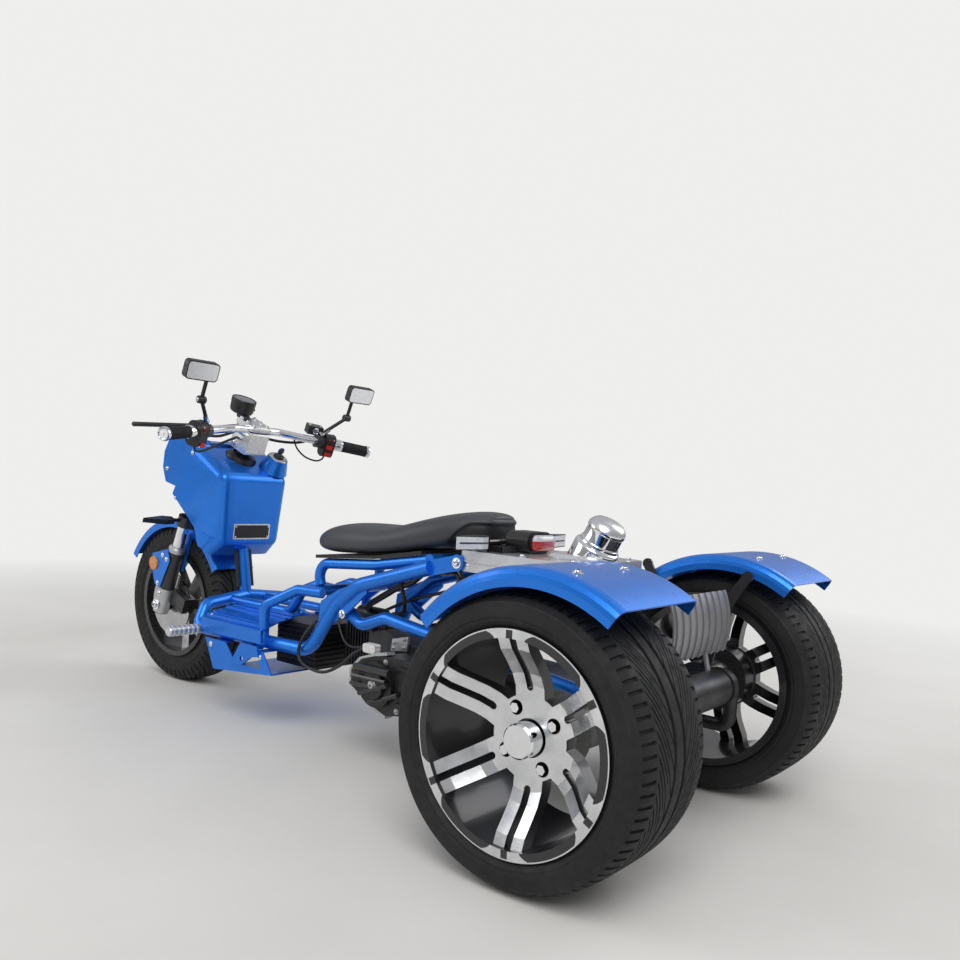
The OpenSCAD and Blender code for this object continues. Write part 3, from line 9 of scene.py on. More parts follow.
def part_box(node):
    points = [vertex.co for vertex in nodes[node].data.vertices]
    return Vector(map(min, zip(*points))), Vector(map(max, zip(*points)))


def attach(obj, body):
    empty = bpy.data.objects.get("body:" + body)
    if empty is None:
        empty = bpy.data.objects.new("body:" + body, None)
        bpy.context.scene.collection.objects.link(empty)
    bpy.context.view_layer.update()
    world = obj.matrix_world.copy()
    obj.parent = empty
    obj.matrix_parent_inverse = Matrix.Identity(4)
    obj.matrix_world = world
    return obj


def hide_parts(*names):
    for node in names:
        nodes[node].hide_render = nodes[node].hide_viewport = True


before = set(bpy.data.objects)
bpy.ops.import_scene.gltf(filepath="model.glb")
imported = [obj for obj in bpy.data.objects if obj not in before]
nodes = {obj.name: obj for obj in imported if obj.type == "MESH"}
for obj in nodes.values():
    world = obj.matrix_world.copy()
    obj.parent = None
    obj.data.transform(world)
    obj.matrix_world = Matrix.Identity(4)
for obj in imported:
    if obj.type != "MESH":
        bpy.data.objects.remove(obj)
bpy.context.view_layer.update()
scene = bpy.context.scene

# Sizes are in millimetres. Places run x ahead of the rear axle, y to the left and z above the ground.
MM = 1000  # in a metre
REAR_X = -781.25
REAR_R, REAR_W, REAR_SEAT_D = 248.5, 235, 360.6
FRONT_R, FRONT_W, FRONT_SEAT_D = 237.0, 120, 310.6
WHEELBASE = 1574.0
TRACK = 740.0
RAKE = radians(21.9)
LEG_Y = 95
SPOKE_ANGLE, SPOKE_STEP = radians(27), radians(60)

SIDES = (1, -1)
X, Y, Z = Vector((1, 0, 0)), Vector((0, 1, 0)), Vector((0, 0, 1))
FORK_X = Vector((cos(RAKE), 0, sin(RAKE)))
FORK_Z = Vector((-sin(RAKE), 0, cos(RAKE)))


def at(x, y, z):
    return Vector(((x + REAR_X) / MM, y / MM, z / MM))


def fork(lx, y, lz):
    """A place on the steered parts: ahead of the fork legs and along the fork from the axle."""
    x = WHEELBASE + lx * cos(RAKE) - lz * sin(RAKE)
    return at(x, y, FRONT_R + lx * sin(RAKE) + lz * cos(RAKE))


def shift(place, *moves):
    """A place moved along directions, each by its own length."""
    for way, length in moves:
        place = place + way * (length / MM)
    return place


def link(name, data):
    obj = bpy.data.objects.new(name, data)
    scene.collection.objects.link(obj)
    return obj


# Camera: at the photograph's place, found by fitting known points of the trike.
CAMERA_PLACE = at(-808.43, 1611.66, 665.32)
YAW, PITCH, ROLL = (radians(a) for a in (52.06, 6.01, 3.66))
PHOTO_PIXELS, FOCAL_PIXELS, SHIFT_PIXELS = 960, 895.4, 94.7
SENSOR_W = 36


def make_camera():
    flat = cos(PITCH)
    ahead = Vector((cos(YAW) * flat, -sin(YAW) * flat, -sin(PITCH)))
    level = Vector((-sin(YAW), -cos(YAW), 0))
    upright = level.cross(ahead)
    right = level * cos(ROLL) + upright * sin(ROLL)
    up = upright * cos(ROLL) - level * sin(ROLL)
    data = bpy.data.cameras.new("camera")
    data.sensor_width = SENSOR_W
    data.lens = FOCAL_PIXELS * SENSOR_W / PHOTO_PIXELS
    data.shift_y = SHIFT_PIXELS / PHOTO_PIXELS
    camera = link("camera", data)
    turn = Matrix((right, up, -ahead)).transposed()
    camera.matrix_world = Matrix.Translation(CAMERA_PLACE) @ turn.to_4x4()
    scene.camera = camera


make_camera()


# Materials: every one is built from noise or cell nodes over a base colour.
class Shader:
    """A Principled material with short ways to add and join nodes."""

    def __init__(self, name, metal=0.0, rough=0.5, coat=0.0, coat_rough=0.05, specular=0.5, **sockets):
        self.mat = bpy.data.materials.new(name)
        self.mat.use_nodes = True
        self.tree = self.mat.node_tree
        self.bsdf = self.tree.nodes["Principled BSDF"]
        sockets |= {"Metallic": metal, "Roughness": rough, "Specular IOR Level": specular,
                    "Coat Weight": coat, "Coat Roughness": coat_rough}
        for key, value in sockets.items():
            self.bsdf.inputs[key].default_value = value
        self.place = self.add("TexCoord").outputs["Object"]

    def put(self, socket, value):
        """Joins a socket to another one, or gives it a value."""
        if isinstance(value, bpy.types.NodeSocket):
            self.tree.links.new(value, socket)
        else:
            socket.default_value = value

    def add(self, kind, props=None, **sockets):
        """A new node. A socket goes by its label, or by the letter i and its number."""
        node = self.tree.nodes.new("ShaderNode" + kind)
        for key, value in (props or {}).items():
            setattr(node, key, value)
        for key, value in sockets.items():
            self.put(node.inputs[int(key[1:])] if key[0] == "i" else node.inputs[key], value)
        return node

    def noise(self, scale, detail=4.0):
        node = self.add("TexNoise", Vector=self.place, Scale=scale, Detail=detail, Roughness=0.55)
        return node.outputs["Fac"]

    def cells(self, scale):
        return self.add("TexVoronoi", Vector=self.place, Scale=scale).outputs["Distance"]

    def ramp(self, value, low, high, a=0.0, b=1.0):
        """A value taken from one range to another and held at the ends."""
        return self.add("MapRange", i0=value, i1=low, i2=high, i3=a, i4=b).outputs[0]

    def cloud(self, scale, a=0.0, b=1.0, detail=4.0):
        """Noise spread to run between two values."""
        return self.ramp(self.noise(scale, detail), 0.3, 0.7, a, b)

    def mix(self, share, a, b):
        node = self.add("Mix", {"data_type": "RGBA"}, i0=share)
        for socket, value in ((node.inputs[6], a), (node.inputs[7], b)):
            self.put(socket, (*value, 1) if isinstance(value, tuple) else value)
        return node.outputs[2]

    def maths(self, kind, a, b=0.0):
        return self.add("Math", {"operation": kind}, i0=a, i1=b).outputs[0]

    def times(self, *values):
        """The product of two or more values, taken from the left."""
        product = values[0]
        for value in values[1:]:
            product = self.maths("MULTIPLY", product, value)
        return product

    def colour(self, value):
        self.put(self.bsdf.inputs["Base Color"], value)

    def roughness(self, value):
        self.put(self.bsdf.inputs["Roughness"], value)

    def metal(self, value):
        self.put(self.bsdf.inputs["Metallic"], value)

    def bump(self, height, strength, distance):
        """Relief on top of what was there before, distance in metres."""
        last = self.bsdf.inputs["Normal"].links
        node = self.add("Bump", Height=height, Strength=strength, Distance=distance)
        if last:
            self.put(node.inputs["Normal"], last[0].from_socket)
        self.put(self.bsdf.inputs["Normal"], node.outputs[0])

    def axes(self, origin):
        """Object coordinates from a place, as separate x, y and z."""
        off = self.add("VectorMath", {"operation": "SUBTRACT"}, i0=self.place, i1=tuple(origin))
        return self.add("SeparateXYZ", Vector=off.outputs[0]).outputs

    def facing(self):
        """The surface's own direction, as separate x, y and z."""
        coord = self.add("TexCoord")
        return self.add("SeparateXYZ", Vector=coord.outputs["Normal"]).outputs

    def reach(self, a, b):
        return self.maths("SQRT", self.maths("ADD", self.times(a, a), self.times(b, b)))


def shade(rgb, k):
    return tuple(min(1.0, c * k) for c in rgb)


def plain(name, rgb, metal=0.0, rough=0.5, coat=0.0, mottle=(18, 0.16), grain=(900, 0.12), wear=0.08):
    """A finish with cloudy colour, uneven gloss and a fine surface grain."""
    s = Shader(name, metal=metal, coat=coat)
    scale, spread = mottle
    s.colour(s.mix(s.cloud(scale), shade(rgb, 1 - spread), shade(rgb, 1 + spread)))
    s.roughness(s.ramp(s.noise(scale * 3.1), 0.25, 0.75, max(0.02, rough - wear), rough + wear))
    s.bump(s.noise(grain[0]), grain[1], 0.0006)
    return s.mat


def blue_paint():
    s = Shader("blue_paint", metal=0.6, coat=0.25, coat_rough=0.04, specular=0.25)
    base = s.mix(s.cloud(6), (0.006, 0.135, 0.62), (0.011, 0.17, 0.74))
    flake = s.ramp(s.cells(2600), 0.1, 0.65)
    s.colour(s.mix(s.times(flake, 0.35), base, (0.04, 0.31, 0.95)))
    s.roughness(s.cloud(40, 0.26, 0.36))
    s.bump(s.noise(160, 2), 0.03, 0.0005)
    return s.mat


def rubber(name, dust):
    s = Shader(name, specular=0.35)
    film = s.times(s.ramp(s.noise(9), 0.45, 0.75), dust)
    s.colour(s.mix(film, (0.012, 0.012, 0.013), (0.06, 0.057, 0.053)))
    s.roughness(s.cloud(60, 0.55, 0.8))
    s.bump(s.noise(1400), 0.25, 0.0005)
    return s.mat


def seat_vinyl():
    s = Shader("seat_vinyl", specular=0.45)
    rgb = (0.125, 0.131, 0.156)
    s.colour(s.mix(s.cloud(7), shade(rgb, 0.85), shade(rgb, 1.18)))
    s.roughness(s.cloud(25, 0.42, 0.56))
    s.bump(s.ramp(s.cells(620), 0.0, 0.5), 0.35, 0.0005)
    s.bump(s.noise(14), 0.12, 0.004)
    return s.mat


def machined(s, face):
    """Bright metal where the mask is one and black paint elsewhere."""
    bright = s.mix(s.cloud(30), (0.62, 0.63, 0.65), (0.8, 0.81, 0.82))
    s.colour(s.mix(face, (0.012, 0.012, 0.014), bright))
    s.metal(face)


def rear_axes(s, side):
    return s.axes((REAR_X / MM, side * TRACK / 2 / MM, REAR_R / MM))


def wheel_alloy(name, side):
    """Machined faces, and black in the slots, on the spokes' sides and in the barrel; masks in metres."""
    s = Shader(name, coat=0.4, coat_rough=0.08)
    x, y, z = rear_axes(s, side)
    radius = s.reach(x, z)
    bare = s.maths("MAXIMUM", s.ramp(radius, 0.1853, 0.1857), s.ramp(radius, 0.1708, 0.1714, 1.0, 0.0))
    # The spokes widen into the rim's edge, with their slots left black.
    step = s.maths("DIVIDE", s.maths("SUBTRACT", s.maths("ARCTAN2", z, x), SPOKE_ANGLE), SPOKE_STEP)
    off = s.maths("ABSOLUTE", s.maths("SUBTRACT", step, s.maths("ROUND", step)))
    across = s.times(off, SPOKE_STEP, radius)
    widen = s.ramp(radius, 0.168, 0.1877)
    half = s.maths("ADD", s.times(widen, widen, 0.024), 0.0285)
    end = s.times(s.maths("LESS_THAN", across, half), s.maths("GREATER_THAN", across, 0.0065))
    outward = s.ramp(s.times(s.facing()[1], side), 0.45, 0.55)
    outer = s.ramp(s.times(y, side), 0.02, 0.025)
    face = s.times(outward, outer, s.maths("MAXIMUM", bare, end))
    machined(s, face)
    s.roughness(s.mix(face, (0.3, 0.3, 0.3), (0.27, 0.27, 0.27)))
    rings = s.maths("SINE", s.times(radius, 9000.0))
    s.bump(s.times(rings, face), 0.05, 0.0002)
    s.bump(s.noise(700), 0.05, 0.0004)
    return s.mat


def hub_finish(name, side):
    """Chrome on the cap and the lug nuts, black on the drum behind."""
    s = Shader(name, coat=0.2)
    front = s.ramp(s.times(rear_axes(s, side)[1], side), 0.012, 0.0125)
    chrome = s.mix(s.noise(40), (0.72, 0.73, 0.75), (0.86, 0.87, 0.88))
    s.colour(s.mix(front, (0.014, 0.014, 0.015), chrome))
    s.metal(front)
    s.roughness(s.mix(front, (0.45, 0.45, 0.45), s.cloud(60, 0.06, 0.16)))
    s.bump(s.noise(800), 0.06, 0.0004)
    return s.mat


def front_alloy():
    """Machined faces on the front wheel's spokes, black elsewhere; masks in metres."""
    s = Shader("wheel_front", coat=0.4, coat_rough=0.08)
    x, _, z = s.axes(at(WHEELBASE, 0, FRONT_R))
    radius = s.reach(x, z)
    ring = s.times(s.ramp(radius, 0.031, 0.0315), s.ramp(radius, 0.1462, 0.1466, 1.0, 0.0))
    machined(s, s.times(s.ramp(s.maths("ABSOLUTE", s.facing()[1]), 0.6, 0.7), ring))
    s.roughness(s.cloud(80, 0.24, 0.34))
    s.bump(s.noise(700), 0.05, 0.0004)
    return s.mat


def split(name, axis, edge, low, high):
    """Two finishes on one lamp, parted along an axis at an edge in metres, on both sides where it is y."""
    s = Shader(name, coat=0.8)
    place = s.axes((0, 0, 0))[axis]
    if axis == 1:
        place = s.maths("ABSOLUTE", place)
    share = s.ramp(place, edge - 0.0004, edge + 0.0004)
    facets = s.cells(260)
    tint = s.ramp(facets, 0.0, 0.6)
    s.colour(s.mix(share, s.mix(tint, shade(low, 0.8), low), s.mix(tint, shade(high, 0.75), high)))
    s.roughness(s.cloud(120, 0.14, 0.28))
    s.bump(facets, 0.3, 0.001)
    return s.mat


def lens(name, rgb, clear):
    s = Shader(name, rough=0.06, coat=1.0, **{"Transmission Weight": clear, "IOR": 1.49})
    s.colour(s.mix(s.cloud(90), shade(rgb, 0.9), shade(rgb, 1.05)))
    s.bump(s.cells(260), 0.25, 0.001)
    return s.mat


BLUE = blue_paint()
BLACK = plain("black_metal", (0.018, 0.018, 0.02), rough=0.36, coat=0.3, mottle=(22, 0.25), grain=(700, 0.1))
PLASTIC = plain("black_plastic", (0.01, 0.01, 0.011), rough=0.42, mottle=(30, 0.25), grain=(1100, 0.25))
CAST = plain("cast_alloy", (0.52, 0.53, 0.54), metal=0.9, rough=0.42, mottle=(14, 0.14), grain=(520, 0.3))
SILVER = plain(
    "silver_paint", (0.62, 0.63, 0.65), metal=0.5, rough=0.3, coat=0.8, mottle=(12, 0.08), grain=(900, 0.06))
CHROME = plain(
    "chrome", (0.83, 0.84, 0.86), metal=1.0, rough=0.07, mottle=(25, 0.05), grain=(300, 0.03), wear=0.04)
STEEL = plain("steel", (0.5, 0.5, 0.51), metal=1.0, rough=0.27, mottle=(16, 0.15), grain=(420, 0.1))
DARK_STEEL = plain(
    "dark_steel", (0.06, 0.06, 0.064), metal=0.9, rough=0.4, mottle=(16, 0.25), grain=(420, 0.25))
SHIELD = plain(
    "shield_steel", (0.34, 0.34, 0.355), metal=0.8, rough=0.46, mottle=(14, 0.12), grain=(420, 0.1))
BRUSHED = plain(
    "brushed_steel", (0.72, 0.73, 0.75), metal=1.0, rough=0.3, mottle=(120, 0.1), grain=(500, 0.12))
MIRROR = plain(
    "mirror_glass", (0.93, 0.94, 0.95), metal=0.4, rough=0.14, mottle=(8, 0.02), grain=(60, 0.005), wear=0.01)
DIAL = plain("dial_glass", (0.03, 0.042, 0.065), rough=0.12, coat=0.8, mottle=(20, 0.1), grain=(300, 0.02))
WHITE = plain("white_nylon", (0.72, 0.71, 0.68), rough=0.45, mottle=(40, 0.08))
RED = plain("red_button", (0.5, 0.012, 0.012), rough=0.35)
TYRE = rubber("tyre", 0.22)
GRIP = rubber("grip_rubber", 0.08)
VINYL = seat_vinyl()
CLEAR = lens("clear_lens", (0.9, 0.92, 0.94), 0.75)
AMBER = lens("amber_lens", (0.85, 0.28, 0.02), 0.3)
TAIL = split("tail_lens", 2, 0.543, (0.42, 0.008, 0.008), (0.55, 0.56, 0.58))
SIGNAL = split("signal_lens", 1, 0.112, (0.015, 0.015, 0.016), (0.78, 0.8, 0.82))

FINISH = [
    (BLUE, "frame_spine frame_rails seat_rails floor_panel belly_pan swingarm rear_fenders front_box"
           " headlight_bracket front_fender ignition_lock"),
    (CAST, "foot_pegs bar_riser"),
    (CHROME, "fork_stanchions fuel_cap handlebar"),
    (SILVER, "fuel_tank"),
    (SHIELD, "heat_shield"),
    (STEEL, "brake_disc"),
    (DARK_STEEL, "engine_case exhaust engine_cylinder"),
    (BLACK, "axle_housing rear_shocks fender_stays steering_stem fork_sliders brake_levers brake_caliper"),
    (PLASTIC, "cvt_cover battery_box seat_base tail_lamp headlight cable_harness switch_housings mirrors"
              " speedometer front_signals"),
    (GRIP, "grips"),
    (SIGNAL, "rear_signals"),
    (VINYL, "seat_cushion"),
    (TYRE, "front_tyre rear_tyre_left rear_tyre_right"),
    (front_alloy(), "front_rim"),
    (wheel_alloy("wheel_left", 1), "rear_rim_left"),
    (wheel_alloy("wheel_right", -1), "rear_rim_right"),
    (hub_finish("hub_left", 1), "rear_hub_left"),
    (hub_finish("hub_right", -1), "rear_hub_right"),
]


def finish_nodes():
    for mat, names in FINISH:
        for name in names.split():
            materials = nodes[name].data.materials
            materials.clear()
            materials.append(mat)


finish_nodes()


# Stage: a pale floor that runs into a pale surround, and three soft lamps; lengths in metres.
PALE = (0.86, 0.86, 0.85, 1)
FLOOR_R, FLOOR_FADE = 14, (1.6, 4.2)
SKY_STOPS = ((0.0, (0.5, 0.5, 0.5, 1)), (0.7, (0.95, 0.96, 1.0, 1)))
SKY_POWER = 0.55
LAMPS = {  # place, target, size and power
    "key": ((-2.2, 2.6, 3.6), (0, 0, 0.3), 2.6, 95),
    "fill": ((2.6, 2.4, 2.2), (0, 0, 0.4), 2.2, 35),
    "back": ((-1.8, -3.2, 2.6), (0, 0, 0.4), 2.4, 45),
}


def make_floor():
    s = Shader("floor_finish", rough=0.7, specular=0.2)
    s.colour(s.mix(s.cloud(1.4, detail=6), (0.68, 0.665, 0.63), (0.76, 0.745, 0.715)))
    s.bump(s.noise(60), 0.05, 0.002)
    # Far from the trike the floor runs into the pale surround.
    away = s.add("VectorMath", {"operation": "LENGTH"}, i0=s.place).outputs["Value"]
    path = s.add("LightPath").outputs
    seen = s.maths("MAXIMUM", path["Is Camera Ray"], path["Is Glossy Ray"])
    pale = s.add("Emission", Color=PALE, Strength=1.0).outputs[0]
    blend = s.add("MixShader", i0=s.times(s.ramp(away, *FLOOR_FADE), seen),
                  i1=s.bsdf.outputs[0], i2=pale)
    s.put(s.tree.nodes["Material Output"].inputs[0], blend.outputs[0])
    bm = bmesh.new()
    bmesh.ops.create_circle(bm, cap_ends=True, segments=96, radius=FLOOR_R)
    mesh = bpy.data.meshes.new("floor")
    bm.to_mesh(mesh)
    bm.free()
    mesh.materials.append(s.mat)
    obj = link("floor", mesh)


def make_lamps():
    for name, (place, target, size, power) in LAMPS.items():
        lamp = bpy.data.lights.new(name, "AREA")
        lamp.size = size
        lamp.energy = power
        obj = link(name, lamp)
        obj.location = place
        obj.rotation_euler = (Vector(target) - Vector(place)).to_track_quat("-Z", "Y").to_euler()


def make_surround():
    """The camera sees a plain pale surround; what lights the trike grows brighter upwards."""
    world = bpy.data.worlds.new("surround")
    world.use_nodes = True
    scene.world = world
    tree = world.node_tree
    light = tree.nodes["Background"]
    coord, height, ramp, path, seen, blend = (tree.nodes.new("ShaderNode" + kind) for kind in (
        "TexCoord", "SeparateXYZ", "ValToRGB", "LightPath", "Background", "MixShader"))
    for stop, (position, colour) in zip(ramp.color_ramp.elements, SKY_STOPS):
        stop.position = position
        stop.color = colour
    light.inputs[1].default_value = SKY_POWER
    seen.inputs[0].default_value = PALE
    for start, end in (
            (coord.outputs["Generated"], height.inputs[0]), (height.outputs[2], ramp.inputs[0]),
            (ramp.outputs[0], light.inputs[0]), (path.outputs["Is Camera Ray"], blend.inputs[0]),
            (light.outputs[0], blend.inputs[1]), (seen.outputs[0], blend.inputs[2]),
            (blend.outputs[0], tree.nodes["World Output"].inputs[0])):
        tree.links.new(start, end)


make_floor()
make_lamps()
make_surround()
scene.view_settings.view_transform = "Standard"


# Pieces: small ways to make meshes in the trike's own places. In a bmesh, mat is the material's number.
def from_bmesh(name, bm):
    bmesh.ops.recalc_face_normals(bm, faces=bm.faces)
    mesh = bpy.data.meshes.new(name)
    bm.to_mesh(mesh)
    bm.free()
    return mesh


def evaluated(obj):
    """The object's mesh with its modifiers applied, in place of the object."""
    mesh = bpy.data.meshes.new_from_object(obj.evaluated_get(bpy.context.evaluated_depsgraph_get()))
    bpy.data.objects.remove(obj)
    return mesh


def piece(name, shape, body, mats, smooth=30):
    """A visible piece that rides on a body, made from a mesh or a bmesh."""
    mesh = from_bmesh(name, shape) if isinstance(shape, bmesh.types.BMesh) else shape
    for m in mats:
        mesh.materials.append(m)
    obj = link(name, mesh)
    mesh.shade_smooth()
    mesh.set_sharp_from_angle(angle=radians(smooth))
    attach(obj, body)
    return obj


def frame_of(axis, hint=Z):
    """Three directions, the last along the axis."""
    w = Vector(axis).normalized()
    u = hint - w * hint.dot(w)
    u = u.normalized() if u.length > 1e-4 else w.orthogonal().normalized()
    return u, w.cross(u), w


def circle(bm, centre, u, v, radius, steps):
    turns = (2 * pi * k / steps for k in range(steps))
    return [bm.verts.new(centre + (u * cos(a) + v * sin(a)) * (radius / MM)) for a in turns]


def skin(bm, rings, mat=0):
    """Faces between closed rings of vertices, where a ring of one is a point."""
    for a, b in zip(rings, rings[1:]):
        steps = max(len(a), len(b))
        for k in range(steps):
            n = (k + 1) % steps
            corners = list(dict.fromkeys((a[k % len(a)], a[n % len(a)], b[n % len(b)], b[k % len(b)])))
            if len(corners) > 2:
                bm.faces.new(corners).material_index = mat


def strip(bm, rows, flip=False):
    """Faces between open rows of vertices."""
    for a, b in zip(rows, rows[1:]):
        for k in range(len(a) - 1):
            quad = (a[k], a[k + 1], b[k + 1], b[k])
            bm.faces.new(quad[::-1] if flip else quad)


def spin(bm, centre, axis, profile, steps, mat=0):
    """Turns a profile of radius and height round an axis."""
    u, v, w = frame_of(axis)
    rings = []
    for radius, height in profile:
        middle = shift(centre, (w, height))
        rings.append(circle(bm, middle, u, v, radius, steps) if radius else [bm.verts.new(middle)])
    skin(bm, rings, mat)


WASHER, CROWN, SOCKET = 1.5, 0.55, 0.42  # radii as shares of the head's own


def bolt(bm, place, axis, d, h, mat=0):
    """A domed button head on a washer, with a hexagon socket."""
    r = d / 2
    head = [(WASHER * r, -1), (WASHER * r, 1), (r, 1), (r, 0.5 * h), (0.85 * r, 0.85 * h), (CROWN * r, h)]
    spin(bm, place, axis, head, 20, mat=mat)
    key = [(CROWN * r, h), (SOCKET * r, h), (SOCKET * r, 0.4 * h), (0, 0.4 * h)]
    spin(bm, place, axis, key, 6, mat=mat)


def curve(points, steps):
    """A smooth line through the points, with equal steps between each two."""
    line = []
    last = len(points) - 1
    for i in range(last):
        a, b, c, d = (points[min(max(k, 0), last)] for k in range(i - 1, i + 3))
        for t in (k / steps for k in range(steps)):
            square, cube = 2 * a - 5 * b + 4 * c - d, 3 * b - a - 3 * c + d
            line.append(0.5 * (2 * b + (c - a) * t + square * t * t + cube * t ** 3))
    return line + [points[-1]]


def run_of(line):
    """The length along a line up to each of its points."""
    return np.concatenate([[0], np.cumsum(np.linalg.norm(np.diff(line, axis=0), axis=1))])


def along(line, shares):
    """Places on a flat line at shares of its length."""
    run = run_of(line)
    want = np.asarray(shares) * run[-1]
    return np.stack([np.interp(want, run, line[:, k]) for k in range(2)], axis=1)


TUBE_STEPS = 12


def sweep(bm, line, radius, mat=0):
    """A round tube along a line."""
    rings, u = [], Z
    for i, p in enumerate(line):
        way = line[min(i + 1, len(line) - 1)] - line[max(i - 1, 0)]
        u, v, _ = frame_of(way, u)
        rings.append(circle(bm, p, u, v, radius, TUBE_STEPS))
    skin(bm, rings, mat)
    for ring in (rings[0][::-1], rings[-1]):
        bm.faces.new(ring).material_index = mat


def patch(mid, across, up, outline):
    """An outline laid in a plane about a place."""
    return [shift(mid, (across, a), (up, b)) for a, b in outline]


def slab(bm, corners, direction, depth, bevel=0.0, mat=0):
    """A flat plate: its outline's corners pushed along a direction."""
    push = direction.normalized() * (depth / MM)
    a = [bm.verts.new(c) for c in corners]
    b = [bm.verts.new(c + push) for c in corners]
    faces = [bm.faces.new(a[::-1]), bm.faces.new(b)]
    for i in range(len(a)):
        j = (i + 1) % len(a)
        faces.append(bm.faces.new((a[i], a[j], b[j], b[i])))
    for f in faces:
        f.material_index = mat
    if bevel:
        edges = list(dict.fromkeys(e for f in faces for e in f.edges))
        bmesh.ops.bevel(bm, geom=edges, offset=bevel / MM, segments=3, profile=0.6, affect="EDGES")


def rounded(w, h, r, steps=5):
    """Corners of a rectangle about zero with round corners."""
    out = []
    for k, (right, top) in enumerate(((1, 1), (-1, 1), (-1, -1), (1, -1))):
        for i in range(steps + 1):
            a = pi / 2 * (k + i / steps)
            out.append((right * (w / 2 - r) + r * cos(a), top * (h / 2 - r) + r * sin(a)))
    return out


def pad(bm, mid, across, up, out, size, depth, bevel=0.0, mat=0):
    """A plate with round corners, its size a width, a height and a radius."""
    slab(bm, patch(mid, across, up, rounded(*size)), out, depth, bevel, mat)


# Tyres: the CAD section made round, with moulded rings and a swept tread cut along the grid's own lines.
# The section is given as shares of the wall's height and of half the width, from the bead to the crown.
SECTION = [(0.0, 0.845), (0.14, 0.865), (0.26, 0.945), (0.5, 0.99), (0.72, 0.96), (0.88, 0.86),
           (0.965, 0.68), (0.995, 0.4), (1.0, 0.0)]
WALL_ROWS = [0, 0.05, 0.1, 0.14, 0.15, 0.17, 0.18, 0.24, 0.3, 0.31, 0.33, 0.34, 0.38]
TREAD_ROWS = [0.4, 0.41, 0.44, 0.48, 0.53, 0.58, 0.59, 0.615, 0.62, 0.66, 0.7, 0.75, 0.8, 0.85, 0.885, 0.89,
              0.93, 0.935, 0.97, 1.0]
COLUMNS = [0, 0.03, 0.15, 0.18, 0.34, 0.5, 0.53, 0.63, 0.66, 0.83]
LONG_CUT, SHORT_CUT = (1, 2), (6, 7)  # the columns that are sunk
LOW_RING, HIGH_RING, RING_RISE = (0.145, 0.175), (0.305, 0.335), 1.2
SHOULDER, SWEPT, RIB = (0.405, 0.585), (0.617, 0.887), (0.888, 0.932)
SHORT_CUT_END, TURN_START = 0.78, 0.6


def within(rows, band):
    return (rows > band[0]) & (rows < band[1])


def tyre(name, node, body, centre, radius, width, seat_d, pitches, swing, depth):
    rows = np.array(WALL_ROWS + TREAD_ROWS)
    wall = radius - seat_d / 2
    section = np.array([(seat_d / 2 + a * wall, b * width / 2) for a, b in SECTION])
    line = along(np.array(curve(section, 24)), rows)
    way = np.gradient(line, axis=0)
    inward = np.stack([-way[:, 1], way[:, 0]], axis=1)
    inward /= np.linalg.norm(inward, axis=1)[:, None]
    inward[inward[:, 0] > 0] *= -1
    ring = np.where(within(rows, LOW_RING) | within(rows, HIGH_RING), -RING_RISE, 0.0)
    turn = np.clip((rows - TURN_START) / (1 - TURN_START), 0, 1) ** 1.15 * radians(swing)
    shoulder, swept, rib = (within(rows, band) for band in (SHOULDER, SWEPT, RIB))
    cols = np.array([(p + c) / pitches for p in range(pitches) for c in COLUMNS]) * 2 * pi
    kind = np.tile(np.arange(len(COLUMNS)), pitches)
    long_cut, short_cut = np.isin(kind, LONG_CUT), np.isin(kind, SHORT_CUT)
    count, n = len(rows), len(cols)
    verts = []
    for i, side in [(i, 1) for i in range(count)] + [(i, -1) for i in range(count - 2, -1, -1)]:
        sink = np.full(n, depth if rib[i] else ring[i])
        if shoulder[i]:
            sink = np.where(long_cut | short_cut, depth * 0.7, sink)
        if swept[i]:
            sink = np.where(long_cut, depth, sink)
            sink = np.where(short_cut & (rows[i] < SHORT_CUT_END), depth * 0.6, sink)
        r = line[i, 0] + inward[i, 0] * sink
        y = (line[i, 1] + inward[i, 1] * sink) * side
        a = cols + turn[i]
        verts.append(np.stack([r * np.cos(a), y, r * np.sin(a)], axis=1))
    here, beside = np.arange(n), np.roll(np.arange(n), -1)
    faces = []
    for i in range(len(verts)):
        low, high = i * n, (i + 1) % len(verts) * n
        faces.append(np.stack([here + low, beside + low, beside + high, here + high], axis=1))
    mesh = bpy.data.meshes.new(name)
    places = np.concatenate(verts) / MM + np.array(centre)
    mesh.from_pydata(places.tolist(), [], np.concatenate(faces).tolist())
    obj = piece(name, mesh, body, [TYRE], smooth=32)
    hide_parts(node)


for tag, side in (("left", 1), ("right", -1)):
    tyre(f"tyre_{tag}", f"rear_tyre_{tag}", f"rear_wheel_{tag}", at(0, side * TRACK / 2, REAR_R),
         REAR_R, REAR_W, REAR_SEAT_D, pitches=40, swing=38, depth=6.0)
tyre("tyre_front", "front_tyre", "front_wheel", at(WHEELBASE, 0, FRONT_R),
     FRONT_R, FRONT_W, FRONT_SEAT_D, pitches=30, swing=20, depth=5.5)


# Seat: stations along the cushion as x, half width, top and underside, and shares of each section.
SEAT = [
    (384, 38, 572, 530), (387, 53, 587, 519), (398, 67, 593, 516), (430, 88, 595, 516), (470, 105, 591, 515),
    (526, 118, 581, 503), (590, 124, 563, 492), (640, 125, 549, 483), (684, 124, 541, 477),
    (763, 117, 541, 469), (844, 107, 538, 463), (895, 90, 522, 466), (928, 64, 505, 472), (942, 42, 495, 478)]
SEAT_SECTION = [
    (0, 1.0), (0.34, 0.985), (0.62, 0.945), (0.82, 0.86), (0.94, 0.7), (0.995, 0.48), (0.985, 0.26),
    (0.93, 0.1), (0.8, 0.01), (0.45, 0.0), (0, 0.0)]
SEAT_BULGE = 3
